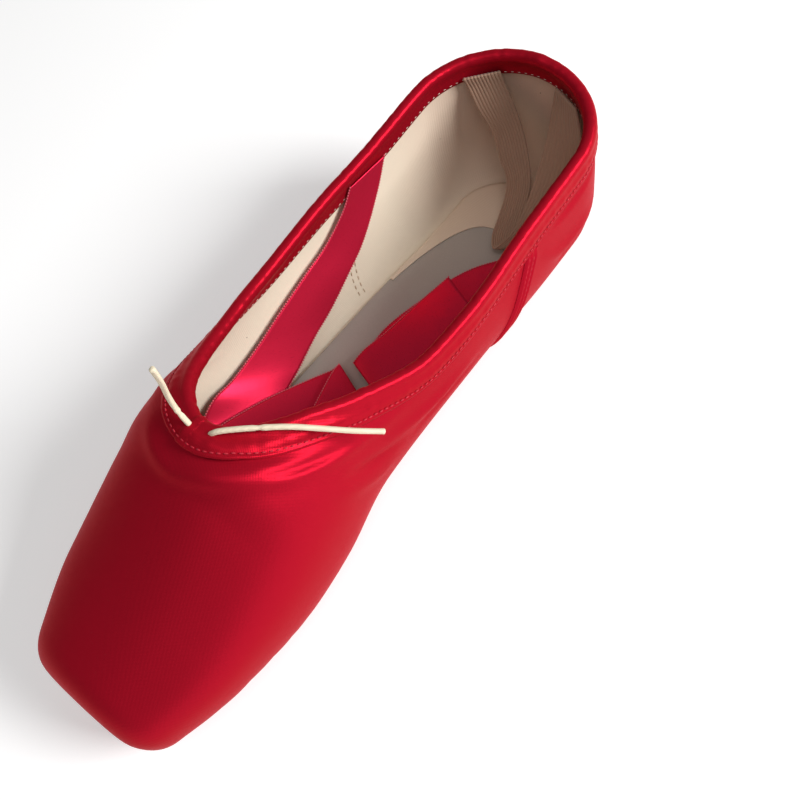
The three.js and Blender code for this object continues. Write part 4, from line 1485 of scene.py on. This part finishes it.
@dataclass
class Seams:
    """The raised side seams, each with two rows of stitches."""

    POINTS, COLUMNS = 60, 29  # down the seam and across it
    RIDGES = (-0.66, 0, 0.66)  # shares of half the width
    RIDGE = 0.2  # how wide one is, in the same shares
    BACKING = 0.3  # thickness under its face
    CLOTH = 50.0  # about its length, for the UV map
    THREADED = (9, 19)  # the columns that the stitches follow
    HIDDEN = 5  # points at the head that the binding covers
    HIDDEN_INSIDE = 3
    STITCH = Stitch(1.9, 1.4, 0.36)
    LINING_STITCH = Stitch(2.4, 1.7, 0.55)
    LINING_SHIFTS = (-1.2, 1.2)  # from the seam's middle to its stitches inside
    width: float = 7.0
    tape: float = 0.6
    heads: tuple[float, float] = (0.725, 0.75)  # left and right, as shares of the length
    slant: float = 0.075  # how far forwards the foot stands, as a share of the length
    head: float = 0.5
    foot: float = 4.0

    def line(self, side: int) -> np.ndarray:
        """Goes down the last along a side seam.

        Args:
            side: Left or right.

        Returns:
            The points.
        """
        name = "right_height" if side > 0 else "left_height"
        start = self.heads[1 if side > 0 else 0]
        top = float(LAST.COLLAR.read(name, np.array(start)))
        top = top - CollarBinding.outer_depth - self.head
        bottom = UPPER_FLOOR + self.foot
        made = []
        for share in np.linspace(0, 1, self.POINTS):
            at = start - self.slant * share
            turn = LAST.turn_at(side, at, top + (bottom - top) * share)
            made.append(LAST.point(side, at, turn))
        return np.array(made)

    def strip(self, name: str, line: np.ndarray, node: str, satin: bpy.types.Material,
              thread: bpy.types.Material, tree: bpy.types.NodeTree) -> list[bpy.types.Object]:
        """One seam.

        Args:
            name: The piece's name.
            line: Points along its middle.
            node: The CAD node that it replaces.
            satin: The satin.
            thread: The thread.
            tree: The stitches' tree.

        Returns:
            The seam and its stitches.
        """
        point, normal = LAST.settle(line)
        along = unit(np.gradient(point, axis=0))
        across = unit(np.cross(normal, along))
        shares = np.linspace(-1, 1, self.COLUMNS)
        taper = smoothstep(np.arange(len(line)), 0.0, self.HIDDEN)[:, None]
        columns, lifts = [], []
        for share in shares:
            q, n = LAST.settle(point + across * share * self.width / 2)
            ridge = sum(math.exp(-(((share - c) / self.RIDGE) ** 2)) for c in self.RIDGES)
            rise = (GAP + self.tape * 1.15 * min(1, ridge)) * (1 - abs(share) ** 10)
            columns.append(q + n * np.maximum(rise * (0.3 + 0.7 * taper), 0.05))
            lifts.append((q + n * (GAP + self.tape * 0.25))[self.HIDDEN:])
        rows = np.stack(columns, 1)
        count, wide = rows.shape[:2]
        u = np.broadcast_to(shares[None, :] * self.width / 2, (count, wide))
        v = np.broadcast_to(np.linspace(0, self.CLOTH, count)[:, None], (count, wide))
        thickness = np.full(count * wide, self.BACKING)
        faces = Meshes.quads(count, wide, flip=True)
        made = Meshes.shell(name, rows.reshape(-1, 3), faces, thickness, satin,
                            (np.stack([u, v], -1) * MM).reshape(-1, 2))
        stitches = Repeats.along(name + "_stitches", tree,
                                 [lifts[column] for column in self.THREADED], thread,
                                 self.STITCH)
        for piece in (made, stitches):
            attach(piece, BODY)
        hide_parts(node)
        return [made, stitches]

    def build(self, tree: bpy.types.NodeTree) -> list[bpy.types.Object]:
        """Makes the seams.

        Args:
            tree: The stitches' tree.

        Returns:
            The pieces.
        """
        satin, thread = SATIN.make(), RED_THREAD.make()
        made, within = [], []
        for side, word in ((LEFT, "left"), (RIGHT, "right")):
            line = self.line(side)
            made += self.strip("seam_" + word, line, "side_seam_" + word, satin, thread, tree)
            point, normal = LAST.settle(line)
            across = unit(np.cross(normal, unit(np.gradient(point, axis=0))))
            for shift in self.LINING_SHIFTS:
                q, n = LAST.settle(point + across * shift)
                within.append((q - n * (QUARTER_WALL + 0.05))[self.HIDDEN_INSIDE:])
        inner = Repeats.along("lining_seam_stitches", tree, within, SHADED_LINING_THREAD.make(),
                              self.LINING_STITCH)
        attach(inner, BODY)
        return made + [inner]


class Paths:
    """Smooth curves through a few points."""

    @staticmethod
    def smooth(points: list, steps: int) -> np.ndarray:
        """A centripetal Catmull-Rom curve.

        Args:
            points: The points that it passes through.
            steps: How many pieces to cut it into.

        Returns:
            Even points by the curve's own parameter.
        """
        p = np.array(points, float)
        p = np.vstack([2 * p[0] - p[1], p, 2 * p[-1] - p[-2]])
        found = []
        for t in np.linspace(0, len(p) - 3, steps + 1):
            i = min(int(t), len(p) - 4)
            found.append(Paths.piece(p[i:i + 4], t - i))
        return np.array(found)

    @staticmethod
    def piece(p: np.ndarray, t: float) -> np.ndarray:
        """Goes from the second to the third of four points.

        Args:
            p: The four.
            t: How far, from 0 to 1.

        Returns:
            The point there.
        """
        gaps = np.sqrt(np.maximum(np.linalg.norm(np.diff(p, axis=0), axis=1), 1e-4))
        m1 = (p[1] - p[0]) / gaps[0] - (p[2] - p[0]) / (gaps[0] + gaps[1])
        m1 = (m1 + (p[2] - p[1]) / gaps[1]) * gaps[1]
        m2 = (p[2] - p[1]) / gaps[1] - (p[3] - p[1]) / (gaps[1] + gaps[2])
        m2 = (m2 + (p[3] - p[2]) / gaps[2]) * gaps[1]
        rise = p[2] - p[1]
        return (p[1] + m1 * t + (3 * rise - 2 * m1 - m2) * t**2
                + (m1 + m2 - 2 * rise) * t**3)


@dataclass
class Strap:
    """A flat strip between two edges: a ribbon or the elastic."""

    RIBBED, PLAIN = 121, 25  # vertices across
    RIB, GROOVE, RIB_ROUND = 0.22, 0.2, 0.8
    name: str
    node: str
    slot: str
    rows: list[tuple]  # pairs of points: one edge and the other, in millimetres
    thickness: float
    steps: int
    ribs: int = 0

    def grid(self, wide: int) -> tuple[np.ndarray, np.ndarray, np.ndarray]:
        """The middle surface.

        Args:
            wide: Vertices across.

        Returns:
            The points, their normals, and UV pairs in millimetres.
        """
        first = Paths.smooth([row[0] for row in self.rows], self.steps)
        second = Paths.smooth([row[1] for row in self.rows], self.steps)
        share = np.linspace(0, 1, wide)[None, :, None]
        points = first[:, None] * (1 - share) + second[:, None] * share
        along = np.gradient(points, axis=0)
        across = np.broadcast_to((second - first)[:, None], points.shape)
        normal = unit(np.cross(across, along))
        width = np.linalg.norm(second - first, axis=1).mean()
        length = distances((first + second) / 2)
        uv = np.stack(np.broadcast_arrays(share[..., 0] * width, length[:, None]), -1)
        return points, normal, uv

    def build(self, material: bpy.types.Material) -> tuple[bpy.types.Object, np.ndarray]:
        """Makes the strip.

        Args:
            material: Its finish.

        Returns:
            The object and the points of its middle surface.
        """
        wide = self.RIBBED if self.ribs else self.PLAIN
        points, normal, uv = self.grid(wide)
        rib = np.zeros(wide)
        if self.ribs:
            wave = np.abs(np.sin(np.linspace(0, math.pi * self.ribs, wide)))
            rib = self.RIB * wave**self.RIB_ROUND - self.GROOVE
        half = self.thickness / 2 + rib
        upper = points + normal * half[None, :, None]
        lower = points - normal * half[None, :, None]
        count = len(points)
        ring = np.concatenate([upper, lower[:, ::-1], upper[:, :1]], 1)
        pairs = np.concatenate([uv, uv[:, ::-1], uv[:, :1]], 1)
        around = ring.shape[1]
        faces = Meshes.quads(count, around)
        last = (count - 1) * around
        for j in range(wide - 1):
            under = 2 * wide - 1 - j
            faces.append((j + 1, j, under, under - 1))
            faces.append((last + j, last + j + 1, last + under - 1, last + under))
        made = Meshes.make(self.name, ring.reshape(-1, 3), faces, material,
                           pairs.reshape(-1, 2) * MM)
        Meshes.weld(made)
        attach(made, BODY)
        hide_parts(self.node)
        return made, points


@dataclass
class Ribbons:
    """The two satin ribbons that are folded inside, with their picot edges."""

    PICOT = Stitch(0.95, 0.75, 0.6)
    PICOT_OUT = 0.25  # how far outside the edge they stand
    thickness: float = 0.4
    left: list[tuple] = field(default_factory=lambda: [
        ((-29.4, 49.4, 47.4), (-28.7, 66.4, 46.2)), ((-30, 44.6, 41.5), (-28.9, 60, 36.5)),
        ((-30.8, 34.5, 35), (-27.8, 46, 24.4)), ((-31, 21, 32), (-26, 32.9, 20.4)),
        ((-31, 6.8, 29), (-25, 21, 16.4)), ((-31, -7, 25.8), (-23.8, 9.5, 14.6)),
        ((-31, -20.6, 24.2), (-22, -2.4, 12.2)), ((-31, -29, 25), (-20.6, -11.7, 11)),
        ((-29.6, -38.3, 22.4), (-17, -22, 10.2)), ((-25.2, -47, 20.4), (-11.5, -32, 10.6)),
        ((-20, -51, 25), (-5.5, -39.5, 15)), ((-20.5, -46, 27.5), (-3, -40, 19)),
        ((-23.6, -36, 23.5), (-4.5, -35.5, 17.5)), ((-22.4, -25.5, 19.6), (-3.5, -26, 14.6)),
        ((-19, -14, 16.4), (-1.5, -15, 12.8)), ((-14.5, -3, 13.6), (2.5, -8.5, 11.8)),
        ((-11.4, 4.2, 11.8), (5, -3, 11.6)), ((-10.2, 6.4, 13.2), (5.4, -0.6, 13)),
        ((-9.2, 2.6, 15), (6, -3.8, 15)), ((-5.2, -12, 17), (9.8, -16.6, 17)),
    ])
    right: list[tuple] = field(default_factory=lambda: [
        ((29.2, 76, 44), (29.2, 57, 42)), ((27.8, 77, 30), (28.2, 57, 29)),
        ((22.5, 76, 18), (24, 57, 16.5)), ((13.5, 71, 12), (20, 53, 11.5)),
        ((6, 63.5, 10.6), (17.5, 46, 11.2)), ((1.5, 55, 10.6), (15.5, 41.5, 11.2)),
        ((-2.5, 42, 11), (15.5, 33, 11.6)), ((-6, 27, 11.4), (12.5, 20, 11.4)),
        ((-6.4, 13, 11), (11.5, 6.5, 11)), ((-6.4, 9.5, 12.8), (11.5, 2.5, 12.8)),
        ((-5.4, 14, 14.8), (12, 7, 14.8)), ((-2.5, 24, 15.6), (14, 17, 16.4)),
        ((0.5, 37, 17), (16, 30, 18.5)), ((4.8, 51, 19.5), (18.6, 44.1, 21)),
    ])

    def edges(self, points: np.ndarray) -> list[np.ndarray]:
        """Lines a little outside a ribbon's two edges, where its picots stand.

        Args:
            points: The ribbon's middle surface, in rows across.

        Returns:
            The two lines.
        """
        out = self.PICOT_OUT * unit(points[:, -1] - points[:, 0])
        return [points[:, 0] - out, points[:, -1] + out]

    def build(self, tree: bpy.types.NodeTree) -> list[bpy.types.Object]:
        """Makes the ribbons.

        Args:
            tree: The stitches' tree.

        Returns:
            The pieces.
        """
        satin, edge = RIBBON_SATIN.make(), PINK_THREAD.make()
        made = []
        for word, rows, steps in (("left", self.left, 260), ("right", self.right, 190)):
            strap = Strap("ribbon_" + word + "_satin", "ribbon_" + word, "ribbon_satin",
                          rows, self.thickness, steps)
            piece, points = strap.build(satin)
            picots = Repeats.along("ribbon_" + word + "_picots", tree,
                                   self.edges(points), edge, self.PICOT)
            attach(picots, BODY)
            made += [piece, picots]
        return made


@dataclass
class HeelElastic:
    """The ribbed elastic loop, sewn in at the back."""

    thickness: float = 1.0
    steps: int = 240
    ribs: int = 11
    rows: list[tuple] = field(default_factory=lambda: [
        ((-22.1, 104.1, 50.4), (-12.2, 112, 51.2)), ((-21.2, 105.2, 46), (-11, 112.4, 46.8)),
        ((-17.8, 104.8, 39.4), (-7.2, 111.6, 40.4)), ((-11.6, 104.2, 30.6), (-1.6, 108.8, 31.4)),
        ((-6.8, 100.4, 24.4), (3, 104.6, 24.8)), ((-2.2, 97.6, 18.4), (6.8, 99.6, 19.4)),
        ((-0.8, 94, 14), (8.4, 94.4, 14.6)), ((0.6, 87.2, 10.6), (9.6, 88.4, 11.2)),
        ((3, 79, 9.3), (12, 80.4, 9.6)), ((7, 74.2, 10.8), (16.2, 78.6, 11)),
        ((10.4, 79.8, 14), (19.4, 87, 14.6)), ((10.4, 88.6, 17), (22.4, 94.6, 20)),
        ((9.4, 97, 21.6), (24.2, 98.2, 25.4)), ((8.4, 104.6, 28), (25, 101.2, 31.4)),
        ((7.8, 109.6, 34.6), (24.4, 103, 37.4)), ((7.4, 113.2, 43.4), (21.8, 106.6, 44.2)),
        ((8.2, 113.8, 50.6), (18.4, 109.2, 49.8)),
    ])

    def build(self) -> list[bpy.types.Object]:
        """Makes the elastic.

        Returns:
            It alone.
        """
        strap = Strap("heel_elastic_band", "heel_elastic", "elastic", self.rows,
                      self.thickness, self.steps, self.ribs)
        piece, points = strap.build(BEIGE_ELASTIC.make())
        return [piece]


@dataclass
class Drawstring:
    """The two free ends of the cord that runs in the binding."""

    STEPS, AROUND = 90, 33  # points along an end and round it
    STRANDS = 3
    GROOVE = 0.13  # between strands, as a share of the radius
    CRIMP, CRIMP_REACH = 0.22, 0.018  # share of the radius, and of the length
    SWELL, SWELL_REACH, SWELL_AFTER = 0.1, 0.015, 0.03
    diameter: float = 1.6
    left: list[tuple] = field(default_factory=lambda: [
        (-2.2, -46.1, 66.2), (-4.9, -45.5, 72), (-4.6, -45, 78), (-2.8, -44.6, 84.5),
        (0, -44.7, 91.5), (2.6, -45, 98.6)])
    right: list[tuple] = field(default_factory=lambda: [
        (3.2, -45.4, 65.7), (5.4, -44, 67.8), (9, -41, 67.9), (14, -36.6, 66.7),
        (19.4, -31.8, 64.7), (25, -27, 61.3), (30.6, -22, 57.3), (35.6, -16.6, 52.8)])
    pinches: tuple[float, float] = (0.16, 0.42)  # shares of the left and the right end

    def end(self, word: str, points: list[tuple], material: bpy.types.Material,
            pinch: float) -> bpy.types.Object:
        """One free end.

        Args:
            word: left or right.
            points: Its route.
            material: Its finish.
            pinch: Share of its length where a knot of the casing has crimped it.

        Returns:
            The piece.
        """
        path = Paths.smooth(points, self.STEPS)
        along = unit(np.gradient(path, axis=0))
        side = unit(np.cross(along, np.array([0.3, 0.5, 1.0])))
        rise = np.cross(side, along)
        angles = np.linspace(0, 2 * math.pi, self.AROUND)
        share = np.linspace(0, 1, len(path))[:, None]
        lobes = 1 - self.GROOVE * np.abs(np.cos(self.STRANDS / 2 * angles[None, :])) ** 3
        crimp = 1 - self.CRIMP * np.exp(-(((share - pinch) / self.CRIMP_REACH) ** 2))
        after = share - pinch - self.SWELL_AFTER
        swell = 1 + self.SWELL * np.exp(-((after / self.SWELL_REACH) ** 2))
        radius = self.diameter / 2 * lobes * crimp * swell
        ring = path[:, None] + radius[..., None] * (
            np.cos(angles)[None, :, None] * side[:, None]
            + np.sin(angles)[None, :, None] * rise[:, None])
        count, around = ring.shape[:2]
        faces = Meshes.quads(count, around, flip=True)
        vertices = np.concatenate([ring.reshape(-1, 3), path[:1], path[-1:]])
        last, tail = (count - 1) * around, count * around
        for j in range(around - 1):
            faces.append((j, j + 1, tail))
            faces.append((last + j + 1, last + j, tail + 1))
        made = Meshes.make("drawstring_" + word + "_cord", vertices, faces, material)
        Meshes.weld(made)
        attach(made, BODY)
        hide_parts("drawstring_" + word)
        return made

    def build(self) -> list[bpy.types.Object]:
        """Makes both ends.

        Returns:
            The left one and the right one.
        """
        material = CORD_THREAD.make()
        return [self.end("left", self.left, material, self.pinches[0]),
                self.end("right", self.right, material, self.pinches[1])]


@dataclass
class Studio:
    """The floor, the lights and the photograph's camera."""

    eye: tuple[float, float, float] = (118.658, -69.507, 240.057)
    focal: float = 801.88  # pixels
    frame: float = 800.0  # pixels
    across: tuple[float, float, float] = (0.793549, 0.586185, -0.164521)
    down: tuple[float, float, float] = (0.462647, -0.756267, -0.463044)
    ahead: tuple[float, float, float] = (-0.395676, 0.291169, -0.871017)
    floor: float = 3.0  # metres
    sensor: float = 36.0
    aim: tuple[float, float, float] = (0, 0, 0.03)  # metres
    white: Shade = Shade(0.92, 0.92, 0.92)
    glow: float = 0.3  # of the floor
    sky: Shade = Shade(1.0, 0.99, 0.98)
    sky_strength: float = 0.26

    def camera(self) -> None:
        """Sets the camera."""
        data = bpy.data.cameras.new("camera")
        data.sensor_width = self.sensor
        data.lens = self.sensor * self.focal / self.frame
        data.clip_start, data.clip_end = 0.01, 20.0
        made = bpy.data.objects.new("camera", data)
        turn = Matrix((self.across, [-v for v in self.down],
                       [-v for v in self.ahead])).transposed()
        made.matrix_world = Matrix.Translation(Vector(self.eye) * MM) @ turn.to_4x4()
        bpy.context.scene.collection.objects.link(made)
        bpy.context.scene.camera = made

    def light(self, name: str, place: tuple, size: float, watts: float) -> None:
        """Adds a soft square light that points at the shoe.

        Args:
            name: Its name.
            place: Where it hangs, in metres.
            size: Its side, in metres.
            watts: Its power.
        """
        data = bpy.data.lights.new(name, "AREA")
        data.size, data.energy = size, watts
        made = bpy.data.objects.new(name, data)
        way = (Vector(place) - Vector(self.aim)).normalized()
        made.matrix_world = (Matrix.Translation(Vector(place))
                             @ way.to_track_quat("Z", "Y").to_matrix().to_4x4())
        bpy.context.scene.collection.objects.link(made)

    def build(self) -> None:
        """Makes the floor, the world and the lights."""
        n = Nodes("studio_floor")
        white = self.white.rgba
        material = n.finish(white, 0.9, n.bump(n.noise(40, 2), 0.1, 0.2),
                            Emission_Color=white, Emission_Strength=self.glow)
        half = self.floor / 2 / MM
        corners = np.array([(-half, -half, 0), (half, -half, 0), (half, half, 0),
                            (-half, half, 0)], float)
        floor = Meshes.make("studio_floor", corners, [(0, 1, 2, 3)], material)
        world = bpy.data.worlds.new("studio_world")
        world.use_nodes = True
        back = world.node_tree.nodes["Background"]
        back.inputs["Color"].default_value = self.sky.rgba
        back.inputs["Strength"].default_value = self.sky_strength
        bpy.context.scene.world = world
        bpy.context.scene.view_settings.view_transform = "Standard"
        self.light("window", (1.0, 0.5, 0.7), 0.5, 19.0)
        self.light("fill", (0.4, -0.4, 1.2), 0.9, 3.0)


def creases() -> list[Crease]:
    """The main creases of the satin, placed one by one.

    Returns:
        The puffed ridge under the band at the throat and its way down the right side, the
        folds that leave it, and the slack at the waist and the heel.
    """
    return [
        Crease((LEFT, 0.268, 1.88), (RIGHT, 0.29, 1.76), (RIGHT, 0.39, 1.38), 3.2, 1.5),
        Crease((LEFT, 0.31, 1.66), (LEFT, 0.26, 1.97), (RIGHT, 0.3, 1.7), 3.0, 1.2),
        Crease((RIGHT, 0.312, 1.6), (RIGHT, 0.385, 1.36), (RIGHT, 0.5, 1.12), 2.4, 1.0),
        Crease((RIGHT, 0.3, 1.71), (RIGHT, 0.352, 1.5), (RIGHT, 0.455, 1.2), 1.3, -0.9),
        Crease((RIGHT, 0.372, 1.27), (RIGHT, 0.414, 1.1), (RIGHT, 0.47, 0.98), 1.5, -1.0),
        Crease((RIGHT, 0.35, 1.27), (RIGHT, 0.4, 1.04), (RIGHT, 0.45, 0.84), 2.2, 0.9),
        Crease((RIGHT, 0.44, 1.12), (RIGHT, 0.52, 1.0), (RIGHT, 0.62, 0.94), 2.6, 1.0),
        Crease((RIGHT, 0.47, 0.95), (RIGHT, 0.55, 0.86), (RIGHT, 0.64, 0.84), 1.8, -0.7),
        Crease((RIGHT, 0.77, 1.06), (RIGHT, 0.83, 0.92), (RIGHT, 0.91, 1.0), 2.6, 1.0),
        Crease((RIGHT, 0.79, 1.12), (RIGHT, 0.85, 1.1), (RIGHT, 0.93, 1.14), 1.6, -0.8),
        Crease((RIGHT, 0.8, 0.72), (RIGHT, 0.86, 0.8), (RIGHT, 0.93, 0.74), 2.0, -0.6),
        Crease((LEFT, 0.3, 1.7), (LEFT, 0.37, 1.38), (LEFT, 0.46, 1.14), 2.6, 0.9),
        Crease((LEFT, 0.33, 1.44), (LEFT, 0.4, 1.2), (LEFT, 0.48, 1.02), 1.6, -0.8),
        Crease((LEFT, 0.45, 1.06), (LEFT, 0.53, 0.94), (LEFT, 0.62, 0.98), 2.4, 0.7),
        Crease((LEFT, 0.8, 1.0), (LEFT, 0.87, 0.92), (LEFT, 0.94, 1.0), 2.4, -0.5),
    ]


def main() -> None:
    """Builds the shoe and the studio around the frame."""
    logging.basicConfig(level=logging.INFO, format="%(name)s: %(message)s")
    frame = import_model()
    LOG.info("frame holds %d nodes", len(frame["nodes"]))
    studio = Studio()
    studio.camera()
    pieces = Drawstring().build()
    tree = Repeats.stitch_tree()
    pieces += SatinUpper(creases=creases()).build()
    pieces += Sole().build()
    pieces += HeelSock().build()
    pieces += CollarBinding().build(tree)
    pieces += Seams().build(tree)
    pieces += Ribbons().build(tree)
    pieces += HeelElastic().build()
    studio.build()
    for piece in pieces:
        LOG.info("%s: %d faces", piece.name, len(piece.data.polygons))
    bpy.context.view_layer.update()


if __name__ == "__main__":
    main()
